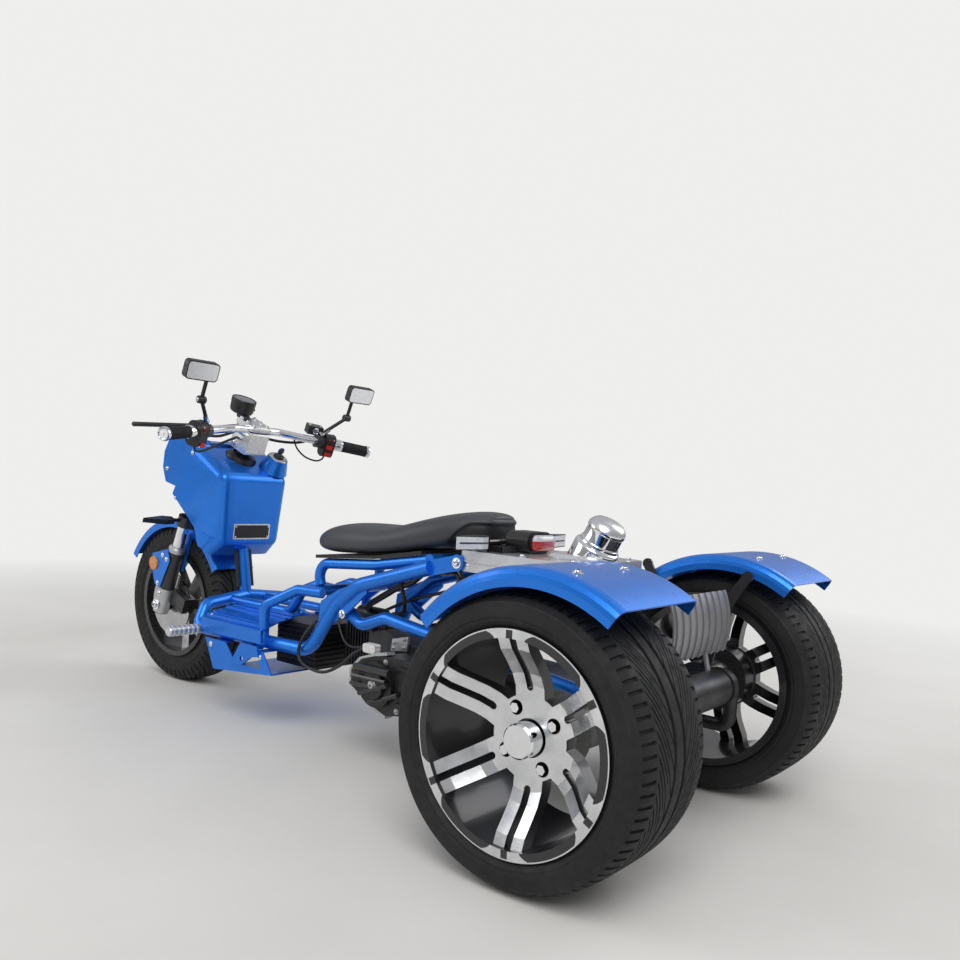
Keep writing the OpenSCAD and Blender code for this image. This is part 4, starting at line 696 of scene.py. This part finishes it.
# The cover's lower edge in x and z: below it, at the hump, the seat's black side shows.
COVER_EDGE = np.array([
    (370, 570), (402, 573), (424, 571), (440, 560), (460, 538), (480, 514), (495, 498), (520, 470),
    (960, 440)])
EDGE_LOW, EDGE_HIGH = 400, 650  # heights that the edge's curve spans
HUMP_END, SEAM_END = 520, 900
SUNK, SEAM_UP, SEAM_W, SEAM_DEPTH, CROWN_UP, CROWN_W = 5, 9, 1.6, 1.3, 2.2, 70


def seat_finish():
    """Grey grained vinyl over black: the cover's edge is a line drawn in the cushion's length and height."""
    s = Shader("seat_two_tone", specular=0.45)
    x, _, z = s.axes((REAR_X / MM, 0, 0))
    start, end = COVER_EDGE[0, 0], COVER_EDGE[-1, 0]
    curve_node = s.add("FloatCurve")
    line = curve_node.mapping.curves[0]
    points = (COVER_EDGE - (start, EDGE_LOW)) / (end - start, EDGE_HIGH - EDGE_LOW)
    line.points[0].location, line.points[1].location = points[0], points[-1]
    for p in points[1:-1]:
        line.points.new(*p)
    curve_node.mapping.update()
    s.put(curve_node.inputs["Value"], s.ramp(x, start / MM, end / MM))
    edge = s.ramp(curve_node.outputs[0], 0, 1, EDGE_LOW / MM, EDGE_HIGH / MM)
    cover = s.ramp(s.maths("SUBTRACT", z, edge), -0.0015, 0.0015)
    grey = s.mix(s.cloud(7), (0.04, 0.042, 0.048), (0.058, 0.06, 0.067))
    s.colour(s.mix(cover, (0.008, 0.008, 0.009), grey))
    s.roughness(s.cloud(25, 0.4, 0.52))
    s.bump(s.ramp(s.cells(620), 0.0, 0.5), 0.3, 0.0004)
    s.bump(s.noise(11), 0.1, 0.004)
    return s.mat


def seat_form():
    """The cushion's rings, closed to a point at both ends and rounded by subdivision."""
    half = np.array(SEAT_SECTION)
    section = np.concatenate([half, half[-2:0:-1] * (-1, 1)])
    rows = [[(x, a * w, low + b * (top - low)) for a, b in section] for x, w, top, low in SEAT]
    bm = bmesh.new()
    rings = [[bm.verts.new(at(*p)) for p in row] for row in rows]
    tips = [[bm.verts.new(at(*(np.mean(row, axis=0) + (bulge, 0, 0))))]
            for row, bulge in ((rows[0], -SEAT_BULGE), (rows[-1], SEAT_BULGE))]
    skin(bm, [tips[0], *rings, tips[1]])
    obj = link("seat_shape", from_bmesh("seat", bm))
    obj.modifiers.new("round", "SUBSURF").levels = 3
    return evaluated(obj)


def seat():
    mesh = seat_form()
    places = np.array([v.co for v in mesh.vertices], float)
    normals = np.array([v.normal for v in mesh.vertices])
    x, y, z = places[:, 0] * MM - REAR_X, places[:, 1] * MM, places[:, 2] * MM
    gap = z - np.interp(x, COVER_EDGE[:, 0], COVER_EDGE[:, 1])
    sunk = np.clip((1 - gap) / SUNK, 0, 1) * SUNK * (x < HUMP_END)
    seam = np.exp(-((gap - SEAM_UP) / SEAM_W) ** 2) * SEAM_DEPTH * (x < SEAM_END)
    crown = CROWN_UP * np.exp(-(y / CROWN_W) ** 2) * np.clip(normals[:, 2], 0, 1)
    places += normals * ((crown - sunk - seam) / MM)[:, None]
    mesh.vertices.foreach_set("co", places.astype(np.float32).ravel())
    mesh.update()
    obj = piece("seat_cover", mesh, "chassis", [seat_finish()], smooth=60)
    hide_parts("seat_cushion")


seat()


# Front box: a bent shell with round corners, open below and ahead. Its profile has x and z and each corner's
# radius, and its front edge x and z.
BOX_PROFILE = [((1340, 406), 0), ((1290, 443), 22), ((1268, 635), 34), ((1390, 712), 30), ((1406, 713), 0)]
BOX_FRONT = np.array([(1368, 432), (1394, 514), (1491, 556), (1419, 689)], float)
BOX_ROUND, BOX_WALL = 24.0, 3
BOX_X, BOX_HALF = (1268, 1500), (113, 133)
LOW_Z, LOW_HALF, LOW_FADE_X = (400, 550, 640), (92, 126, 133), (1275, 1365)
CHEEK_STEPS = 8
STEM_X, HOLE_R, HOLE_Z, HOLE_H = -40, 31, 470, 150
SLOPE, SLOPE_UP = Vector((-0.534, 0, 0.846)), Vector((0.846, 0, 0.534))
BACK, BACK_UP = Vector((-0.993, 0, -0.114)), Vector((-0.114, 0, 0.993))


def box_half(x, z):
    """The shell's half width: wider ahead, and drawn in low down at the back."""
    wide = np.interp(x, BOX_X, BOX_HALF)
    low = min(wide, np.interp(z, LOW_Z, LOW_HALF))
    return wide + (low - wide) * np.interp(x, LOW_FADE_X, (1, 0))


def rounded_path(corners, steps=8):
    """A line in length and height whose corners turn on their own radius."""
    out = []
    for i, (p, r) in enumerate(corners):
        p = np.array(p, float)
        if not r:
            out.append(p)
            continue
        a, b = (np.array(corners[k][0], float) - p for k in (i - 1, i + 1))
        a, b = a / np.linalg.norm(a), b / np.linalg.norm(b)
        reach = r / tan(acos(np.clip(a @ b, -1, 1)) / 2)
        for t in np.linspace(0, 1, steps):
            out.append((1 - t) ** 2 * (p + a * reach) + 2 * t * (1 - t) * p + t * t * (p + b * reach))
    return np.array(out)


def shell_surface():
    """The bent back and top with their round edges, and a ruled cheek from each edge to the front."""
    line = rounded_path(BOX_PROFILE)
    way = np.gradient(line, axis=0)
    way /= np.linalg.norm(way, axis=1)[:, None]
    inside = np.stack([way[:, 1], -way[:, 0]], axis=1)
    bm = bmesh.new()
    rows = []
    for p, into in zip(line, inside):
        flat = box_half(*p) - BOX_ROUND
        edge = [(flat + BOX_ROUND * sin(t), BOX_ROUND * (1 - cos(t)))
                for t in np.linspace(0, pi / 2, 8)]
        across = [(-y, d) for y, d in edge[::-1]] + [(y, 0) for y in np.linspace(-flat, flat, 7)[1:-1]] + edge
        rows.append([bm.verts.new(at(p[0] + into[0] * d, y, p[1] + into[1] * d)) for y, d in across])
    strip(bm, rows)
    inner = line + inside * BOX_ROUND
    run = run_of(inner)
    front = along(BOX_FRONT, run / run[-1])
    for side, last in ((1, -1), (-1, 0)):
        cheek = []
        for row, start, end in zip(rows, inner, front):
            rule = (start + (end - start) * t for t in np.linspace(0, 1, CHEEK_STEPS + 1)[1:])
            cheek.append([row[last]] + [bm.verts.new(at(x, side * box_half(x, z), z)) for x, z in rule])
        strip(bm, cheek, flip=side < 0)
    return bm


def front_shell():
    obj = link("shell_shape", from_bmesh("front_shell", shell_surface()))
    wall = obj.modifiers.new("wall", "SOLIDIFY")
    wall.thickness = BOX_WALL / MM
    wall.offset = -1
    bm = bmesh.new()
    spin(bm, fork(STEM_X, 0, HOLE_Z), FORK_Z,
         [(0, 0), (HOLE_R, 0), (HOLE_R, HOLE_H), (0, HOLE_H)], 40)
    cutter = link("stem_hole", from_bmesh("stem_hole", bm))
    hole = obj.modifiers.new("hole", "BOOLEAN")
    hole.object = cutter
    hole.operation = "DIFFERENCE"
    mesh = evaluated(obj)
    bpy.data.objects.remove(cutter)
    obj = piece("front_shell", mesh, "chassis", [BLUE], smooth=28)
    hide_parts("front_box")


EMBOSS, PLATE, LOCK = at(1344, 33, 683), at(1286, 0, 478), at(1302.2, -80, 656.8)
PLATE_W, PLATE_H, PLATE_T = 126, 44, 1.4
LOCK_TOP = 42.2


def shell_details():
    """The round emboss, the bare plate, the stem's boot, and the lock's face and key."""
    bm = bmesh.new()
    spin(bm, EMBOSS, SLOPE, [(24, -2), (23, 0.9), (21.5, 1.8), (18, 1.8), (16.5, 0.6), (0, 0.6)], 48)
    pad(bm, PLATE, Y, BACK_UP, BACK, (PLATE_W, PLATE_H, 4), PLATE_T, mat=1)
    pad(bm, shift(PLATE, (BACK, 1)), Y, BACK_UP, BACK, (PLATE_W - 8, PLATE_H - 7, 2), 1.0, mat=2)
    for a in (-56, 56):
        for b in (-15, 15):
            bolt(bm, shift(PLATE, (BACK, 2), (Y, a), (BACK_UP, b)), BACK, 4, 1.6, mat=1)
    spin(bm, fork(STEM_X, 0, 488), FORK_Z,
         [(25, 0), (46, 0), (46, 12), (42, 20), (34, 25), (28, 28), (25, 28)], 48, mat=2)
    face = shift(LOCK, (SLOPE, LOCK_TOP))
    spin(bm, face, SLOPE, [(14, -2), (28, -2), (28, 1.5), (25, 3.2), (16, 3.2), (14.3, 2.2)], 44, mat=1)
    spin(bm, face, SLOPE, [(14.4, 0), (14.4, 8.6), (12.5, 10), (0, 10)], 36, mat=2)
    bow, blade = (shift(LOCK, (SLOPE, a), (SLOPE_UP, b)) for a, b in ((65, -2), (53, -1)))
    pad(bm, bow, Y, SLOPE, SLOPE_UP, (19, 20, 7), 4, bevel=1.0, mat=2)
    pad(bm, blade, Y, SLOPE, SLOPE_UP, (7, 8, 1), 2, mat=1)
    piece("shell_details", bm, "chassis", [BLUE, BRUSHED, PLASTIC])


front_shell()
shell_details()


# Handlebar: each end runs straight between two places, given out from the middle and ahead of the fork.
BAR_Z = 600
BAR_OUT, BAR_AHEAD = (75, 345), (-76, -171)
BAR_R = 11.2
GRIP_Y, SWITCH_Y, STUD_Y, FLUID_BOX_Y = 238, 223, 197, 185
SWITCH_FACE = 21
RIBS, RIB_START, RIB_STOP = 13, 29, 4


def bar_place(y):
    """A place on the bar and the direction out along it."""
    side = 1 if y > 0 else -1
    inner, outer = (fork(ahead, side * out, BAR_Z) for out, ahead in zip(BAR_OUT, BAR_AHEAD))
    return fork(np.interp(abs(y), BAR_OUT, BAR_AHEAD), y, BAR_Z), (outer - inner).normalized()


def bar_frame(y):
    """A place on the bar, and the directions out along it, up and back."""
    place, way = bar_place(y)
    back = FORK_Z.cross(way)
    return place, way, FORK_Z, back if back.x < 0 else -back


def grips():
    """A chrome collar, ribbed rubber and a dished chrome cap on each end."""
    bm = bmesh.new()
    end = (bar_place(BAR_OUT[1])[0] - bar_place(GRIP_Y)[0]).length * MM
    step = (end - RIB_START - RIB_STOP) / RIBS
    ribs = [(15, 28)]
    for k in range(RIBS):
        h = RIB_START + k * step
        ribs += [(16.3, h), (16.3, h + 0.72 * step), (15.6, h + 0.78 * step), (15.6, h + 0.95 * step)]
    ribs += [(15, end - 3), (BAR_R, end)]
    cap = [(BAR_R, -4), (17.5, -4), (18, -2), (18, 6), (16.5, 9), (13, 9.3), (11, 6.5), (5, 6.5), (4, 9),
           (0, 9)]
    for side in SIDES:
        start, way = bar_place(side * GRIP_Y)
        spin(bm, start, way, [(BAR_R, 0), (17, 0), (17.4, 2), (17.4, 26), (17, 28), (15, 28)], 40, mat=1)
        spin(bm, start, way, ribs, 36)
        spin(bm, start, way, [(r, end + h) for r, h in cap], 40, mat=1)
    obj = piece("bar_grips", bm, "steering", [GRIP, CHROME])
    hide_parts("grips")


def mirror_faces():
    bm = bmesh.new()
    for side in SIDES:
        pad(bm, fork(-154, side * 272, 765), Y, FORK_Z, -FORK_X, (86, 42, 8), 0.8)
    piece("mirror_faces", bm, "steering", [MIRROR], smooth=40)


def controls():
    """Switch buttons and rims, mirror studs and the fluid box's window and screws."""
    bm = bmesh.new()
    rim = [(a * 1.03, b * 1.02) for a, b in rounded(44, 67, 16)]
    # Each red button's height on its housing, width and height.
    for y, buttons in ((SWITCH_Y, [(-30, 18, 12)]), (-SWITCH_Y, [(-6, 20, 13), (-28, 20, 11)])):
        place, way, up, back = bar_frame(y)
        face = shift(place, (back, SWITCH_FACE))
        for lift, w, h in buttons:
            pad(bm, shift(face, (up, lift)), way, up, back, (w, h, 3), 4.5, bevel=1.0)
        pad(bm, shift(face, (up, 12)), way, up, back, (16, 12, 4), 4, bevel=1.2, mat=1)
        for lift in (18, -34):
            bolt(bm, shift(face, (back, 0.8), (up, lift), (way, 9)), back, 4, 1.6, mat=2)
        for end in (-15, 14):
            slab(bm, patch(shift(place, (way, end), (up, -6.5)), back, up, rim), way, 2.2, mat=1)
    for side in SIDES:
        foot = shift(bar_place(side * STUD_Y)[0], (FORK_Z, 19.5))
        tip = fork(-145, side * 250, 690)
        stud = [(0, 0), (9, 0), (9, 9), (7.5, 10), (6.2, 11), (6.2, 30), (0, 30)]
        spin(bm, foot, tip - foot, stud, 6, mat=2)
        spin(bm, shift(tip, (Y, -11)), Y, [(0, 0), (8, 0), (10, 2), (10, 20), (8, 22), (0, 22)], 24, mat=1)
        bolt(bm, shift(tip, (Y, 11 * side)), Y * side, 7, 3, mat=2)
    place, way, up, back = bar_frame(-FLUID_BOX_Y)
    window = [(10, 0), (10, 1.5), (7.5, 2.2), (7, 1), (0, 1)]
    spin(bm, shift(place, (back, -12.5), (up, 25)), back, window, 28, mat=2)
    for a in (-18, 18):
        bolt(bm, shift(place, (back, -27), (up, 38), (way, a)), up, 6, 2.4, mat=2)
    piece("controls", bm, "steering", [RED, PLASTIC, CHROME])


grips()
mirror_faces()
controls()


# Bar clamp and dial, turned and bevelled finer than their solids.
CLAMP_X, CLAMP_L, CLAMP_HALF = -58.5, 79, 32
DIAL_X, DIAL_Z, DIAL_R = 12, 618, 35


def clamp():
    bm = bmesh.new()
    # Each block's height on the fork, its half width, size, bevel and material.
    for z, half, size, bevel, mat in (
            (563, CLAMP_HALF, (CLAMP_L, 66, 6), 3, 0), (597.5, CLAMP_HALF - 3, (CLAMP_L - 6, 6, 1), 0, 1),
            (607.2, CLAMP_HALF, (CLAMP_L, 17, 5), 3, 0)):
        pad(bm, fork(CLAMP_X, -half, z), FORK_X, FORK_Z, Y, size, 2 * half, bevel, mat)
    for side in (-1, 1):
        for x in (-91, -58, -27):
            bolt(bm, fork(x, side * 22, 615.6), FORK_Z, 9, 5, mat=2)
        bolt(bm, fork(-38, side * (CLAMP_HALF + 0.01), 545), Y * side, 11, 5, mat=2)
    obj = piece("bar_clamp", bm, "steering", [BRUSHED, BLACK, CHROME])
    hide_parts("bar_riser")


def dial():
    bm = bmesh.new()
    foot = fork(DIAL_X, 0, DIAL_Z)
    can = [(0, 0), (26, 0), (31, 3), (33, 8), (34.2, 26), (DIAL_R, 30), (DIAL_R, 40), (34, 41.6), (32, 42),
           (31, 40.4)]
    spin(bm, foot, FORK_Z, can, 64)
    spin(bm, foot, FORK_Z, [(31, 40.4), (20, 41.2), (0, 41.6)], 64, mat=1)
    pad(bm, fork(-3.4, -12, 612.3), FORK_X, FORK_Z, Y, (30.6, 12, 2), 24, bevel=1)
    for angle in (0, 120, 240):
        c, s = cos(radians(angle)), sin(radians(angle))
        bolt(bm, fork(DIAL_X + DIAL_R * c, DIAL_R * s, 635), FORK_X * c + Y * s, 5, 1.5)
    obj = piece("dial", bm, "steering", [PLASTIC, DIAL])
    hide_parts("speedometer")


clamp()
dial()


# Cables and leads, each one free between two fixings: its diameter, stiffness and route.
STEERED_CORDS = {
    "switch_lead_right": (5, "medium", [
        (-92, -128, 588), (-100, -140, 566), (-112, -168, 546), (-126, -200, 541), (-130, -219, 549),
        (-129, -223, 561)]),
    "brake_hose_right": (8, "medium", [
        (-98, -176, 592), (-80, -150, 576), (-62, -110, 568), (-48, -66, 568), (-40, -33, 574)]),
    "switch_lead_left": (7, "medium", [
        (-129, 223, 561), (-124, 215, 545), (-104, 180, 536), (-78, 130, 540), (-54, 76, 550),
        (-42, 33, 562)]),
    "brake_hose_left": (8, "medium", [
        (-100, 178, 590), (-76, 144, 572), (-56, 100, 566), (-44, 62, 572), (-36, 33, 580)]),
}
CHASSIS_CORDS = {
    "engine_loom": (8, "medium", [
        (822, 153, 302), (845, 170, 264), (860, 174, 226), (848, 176, 199), (806, 176, 186), (761, 176, 188),
        (712, 175, 212), (676, 166, 246), (652, 151, 262)]),
    "intake_hose": (16, "stiff", [
        (742, 56, 332), (716, 82, 350), (685, 90, 366), (649, 92, 386), (618, 92, 404), (575, 90, 422),
        (545, 84, 448)]),
    "breather_hose": (10, "medium", [
        (606, 100, 448), (602, 100, 420), (594, 92, 380), (603, 80, 352), (622, 76, 340), (642, 78, 336),
        (656, 80, 322), (660, 80, 300)]),
    "fuel_line": (8, "medium", [
        (402, 60, 470), (434, 60, 440), (490, 64, 410), (560, 70, 388), (630, 66, 362), (702, 50, 332)]),
    "engine_lead": (5, "medium", [
        (760, 141, 316), (742, 150, 292), (716, 158, 268), (690, 158, 259), (652, 149, 264)]),
}


def cord(name, points, d, body):
    line = curve(points, 6)
    bm = bmesh.new()
    sweep(bm, line, d / 2)
    obj = piece(name, bm, body, [PLASTIC], smooth=60)


for body, place, table in (("steering", fork, STEERED_CORDS), ("chassis", at, CHASSIS_CORDS)):
    for name, (d, stiff, points) in table.items():
        cord(name, [place(*p) for p in points], d, body)


# Engine fittings: the belt cover's bright flange and dark ribs, a cast plate, a white connector and screws.
COVER_OUTLINE = np.array([
    (560, 262), (600, 254), (641, 241), (672, 211), (671, 175), (641, 158), (600, 138), (556, 124)], float)
COVER_MID = np.array((540.0, 193.0))
FLANGE_Y, FLANGE_W, FLANGE_T = 150, 7, 25
COVER_FACE_Y, COVER_BOSS_Y = 178.3, 198
COVER_RIBS = [  # both ends and the radius
    ((530, 197, 228), (640, 194, 226), 9), ((540, 198, 208), (648, 196, 205), 5),
    ((548, 199, 190), (650, 196, 187), 5), ((534, 198, 202), (622, 196, 168), 6),
    ((508, 190, 184), (598, 188, 150), 6)]
COVER_SCREWS = [
    (648, 222), (560, 247), (470, 250), (330, 244), (258, 226), (262, 182), (380, 150), (520, 142),
    (626, 164)]
CAST_PLATE = [(616, 284), (566, 297), (569, 261), (620, 255)]
CAST_PLATE_Y, CAST_PLATE_T = 94.5, 8


def engine_fittings():
    bm = bmesh.new()
    outer = [p + (p - COVER_MID) * (FLANGE_W / np.linalg.norm(p - COVER_MID)) for p in COVER_OUTLINE]
    slab(bm, [at(x, FLANGE_Y, z) for x, z in [*outer, *COVER_OUTLINE[::-1]]], Y, FLANGE_T)
    for start, end, radius in COVER_RIBS:
        sweep(bm, [at(*start), at(*end)], radius, mat=2)
    slab(bm, [at(x, CAST_PLATE_Y, z) for x, z in CAST_PLATE], Y, CAST_PLATE_T, bevel=1.5)
    for x, z in ((608, 276), (576, 288), (578, 268), (611, 263)):
        bolt(bm, at(x, CAST_PLATE_Y + CAST_PLATE_T - 0.1, z), Y, 8, 4)
    pad(bm, at(634, 140, 264), X, Z, Y, (40, 21, 4), 20, bevel=2, mat=1)
    pad(bm, at(616, 145, 246), X, Z, Y, (9, 24, 2), 8, mat=1)
    for k in range(3):
        pad(bm, at(624 + 10 * k, 160, 264), X, Z, Y, (4, 15, 1), 1.2, mat=1)
    for x, z in COVER_SCREWS:
        bolt(bm, at(x, COVER_FACE_Y, z), Y, 9, 5)
    for x, z in ((580.8, 193.5), (285.3, 204.3)):
        bolt(bm, at(x, COVER_BOSS_Y, z), Y, 16, 6)
    piece("engine_fittings", bm, "chassis", [CAST, WHITE, BLACK])


engine_fittings()


# Tail: the filler's drum with its domed cap, and trim on the tank, the signals and the foot pegs.
FILLER, FILLER_TILT = at(158, 0, 515.3), radians(27)
DRUM = [(47, -18), (50, -16), (50, 28), (49, 32), (46, 35.5), (43.5, 36), (42.5, 38), (42.5, 42),
        (40.5, 43.5), (40, 45), (40, 68), (41.2, 69), (41.8, 71), (41.8, 76), (40.6, 78)]
DOME = [(40.6, 78), (39.4, 80.5), (36, 85.7), (30.4, 90.2), (22, 92.9), (11.2, 93.8), (0, 94)]
TANK_TOP, TANK_SIDE = 515, 131.6
SIGNAL_X, SIGNAL_EDGE = 355, [(-10, 105), (-15, 135), (0, 205), (15, 135), (10, 105)]
PEG_X, PEG_Z = 1239, 222
PEG_RING = [(12.6, -4), (14, -2.5), (14, 2.5), (12.6, 4)]
PEG_END = [(13, -1), (13.4, 1), (11.5, 4), (6, 5.6), (0, 6)]


def filler():
    bm = bmesh.new()
    tilt = Vector((-sin(FILLER_TILT), 0, cos(FILLER_TILT)))
    spin(bm, FILLER, tilt, DRUM, 72)
    spin(bm, FILLER, tilt, DOME, 72, mat=1)
    obj = piece("filler_drum", bm, "chassis", [CHROME, BRUSHED], smooth=40)
    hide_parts("fuel_cap")


def tank_trim():
    bm = bmesh.new()
    pad(bm, at(255, 0, 491), X, Y, Z, (320, 270, 24), 3)
    spin(bm, at(178, 0, TANK_TOP + 0.2), Z, [(0, 0), (76, 0), (76, 4), (70, 8), (60, 10), (0, 10)], 56)
    for k in range(7):
        pad(bm, at(356 - 7 * k, 72, 522), Y, Z, X, (52, 14, 2), 3, mat=1)
    for x, y in ((130, 112), (378, 112), (250, 118)):
        for side in SIDES:
            bolt(bm, at(x, side * y, TANK_TOP), Z, 10, 5, mat=2)
    for side in SIDES:
        for x in (150, 230, 310, 380):
            bolt(bm, at(x, side * TANK_SIDE, 482), Y * side, 7, 3, mat=2)
        for z in (548, 520):
            slab(bm, [at(SIGNAL_X + 1.08 * a, side * b, z) for a, b in SIGNAL_EDGE], Z, 2, mat=1)
        seam = [at(SIGNAL_X + a, side * b, 535) for a, b in ((-11, 112), (-15, 135), (-2, 196))]
        sweep(bm, seam, 1.6, mat=1)
        for y in range(208, 279, 14):
            spin(bm, at(PEG_X, side * y, PEG_Z), Y, PEG_RING, 32)
        spin(bm, at(PEG_X, side * 287, PEG_Z), Y * side, PEG_END, 32)
    piece("tank_trim", bm, "chassis", [SILVER, PLASTIC, CHROME])


filler()
tank_trim()


# Fasteners of the chassis: on the rear fenders' arc, then one by one.
FENDER_X, FENDER_Z, FENDER_R = -31, REAR_R - 5, 296
BOLT_ANGLE = radians(101)


def fasteners():
    bm = bmesh.new()
    c, s = cos(BOLT_ANGLE), sin(BOLT_ANGLE)
    for side in SIDES:
        out = Y * side
        for y in (444, 299):
            bolt(bm, at(FENDER_X + FENDER_R * c, side * y, FENDER_Z + FENDER_R * s), (c, 0, s), 13, 5)
        # Each one's place, direction, diameter and height.
        for x, y, z, way, d, h in (
                (751, 138, 326, out, 14, 7), (406, 138, 486, out, 16, 7), (1180, 200, 190, out, 10, 4),
                (975, 200, 190, out, 10, 4), (985, 178, 264, Z, 9, 3), (1205, 178, 264, Z, 9, 3),
                (1400, 124, 690, out, 9, 4), (1470, 128, 560, out, 9, 4), (1600, 75.5, 641, out, 10, 5)):
            bolt(bm, at(x, side * y, z), way, d, h)
    piece("fasteners", bm, "chassis", [CHROME])


fasteners()


# Lamps: lenses set on their housings, which give their places.
TAIL_W, TAIL_H, TAIL_CORNER = 79, 35, 12
TAIL_STEPS = [(1.0, -3), (1.0, 1), (0.96, 4), (0.86, 7), (0.66, 9.5), (0.36, 11)]  # outline's share, depth
HEAD_DEPTH = 16.5


def tail_lens():
    bm = bmesh.new()
    low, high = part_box("tail_lamp")
    middle = Vector((low.x, 0, (low.z + high.z) / 2))
    outline = rounded(TAIL_W, TAIL_H, TAIL_CORNER, 6)
    rings = []
    for k, depth in TAIL_STEPS:
        corners = patch(shift(middle, (X, -depth)), Y, Z, [(a * k, b * k) for a, b in outline])
        rings.append([bm.verts.new(c) for c in corners])
    skin(bm, rings)
    bm.faces.new(rings[-1])
    bm.faces.new(rings[0][::-1])
    piece("tail_lens", bm, "chassis", [TAIL], smooth=40)


def head_lens():
    bm = bmesh.new()
    low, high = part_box("headlight")
    bowl = shift(Vector((high.x, 0, (low.z + high.z) / 2)), (X, -HEAD_DEPTH))
    spin(bm, shift(bowl, (X, 0.8)), X, [(69, 0), (66, 4), (52, 11), (30, 16), (0, 18)], 64)
    spin(bm, bowl, X, [(68, 0), (65, 3.6), (51.5, 10.4), (29.5, 15.4), (14, 17)], 32, mat=1)
    spin(bm, bowl, X, [(14, 17), (10, 17.3), (0, 17.4)], 32, mat=2)
    spin(bm, bowl, X, [(66, 3), (71.8, -1), (73.4, 2), (72.8, 6), (69.5, 8), (66, 6.5)], 64, mat=1)
    piece("head_lens", bm, "chassis", [CLEAR, CHROME, BLACK])


# Fork: collars and silver feet on the legs, and a blue plate that carries the reflector.
FORK_COLLAR = [(16.6, 0), (24, 0), (24.6, 3), (24.6, 12), (22, 15), (18, 18), (16.6, 18)]
FORK_FOOT = [(0, -2), (17, -2), (22.6, 2), (23.2, 8), (23.2, 72), (22.4, 80), (20, 82)]
FORK_PLATE = [(1592, 389), (1514, 408), (1503, 375), (1553, 290), (1578, 299), (1598, 359)]
FORK_PLATE_Y, PLATE_FACE_Y, AXLE_NUT_Y = 118.6, 121, 117.5
REFLECTOR = [(0, 0), (21, 0), (21, 3), (19.5, 5), (18, 5), (17, 4), (0, 5)]


def fork_trim():
    bm = bmesh.new()
    for side in SIDES:
        out = Y * side
        spin(bm, fork(0, side * LEG_Y, 176), FORK_Z, FORK_COLLAR, 40)
        spin(bm, fork(0, side * LEG_Y, -25), FORK_Z, FORK_FOOT, 40)
        slab(bm, [at(x, side * FORK_PLATE_Y, z) for x, z in FORK_PLATE], out, 2.5, mat=1)
        for x, z in ((1540, 388), (1520, 377), (1563, 303)):
            bolt(bm, at(x, side * PLATE_FACE_Y, z), out, 9, 4, mat=2)
        bolt(bm, fork(0, side * AXLE_NUT_Y, 0), out, 22, 9, mat=2)
        bolt(bm, fork(0, side * AXLE_NUT_Y, 38), out, 11, 5, mat=2)
    piece("fork_trim", bm, "steering", [CAST, BLUE, CHROME])


def side_reflectors():
    bm = bmesh.new()
    for side in SIDES:
        spin(bm, fork(54, side * PLATE_FACE_Y, 111), Y * side, REFLECTOR, 40)
    piece("side_reflectors", bm, "steering", [AMBER], smooth=40)


tail_lens()
head_lens()
fork_trim()
side_reflectors()
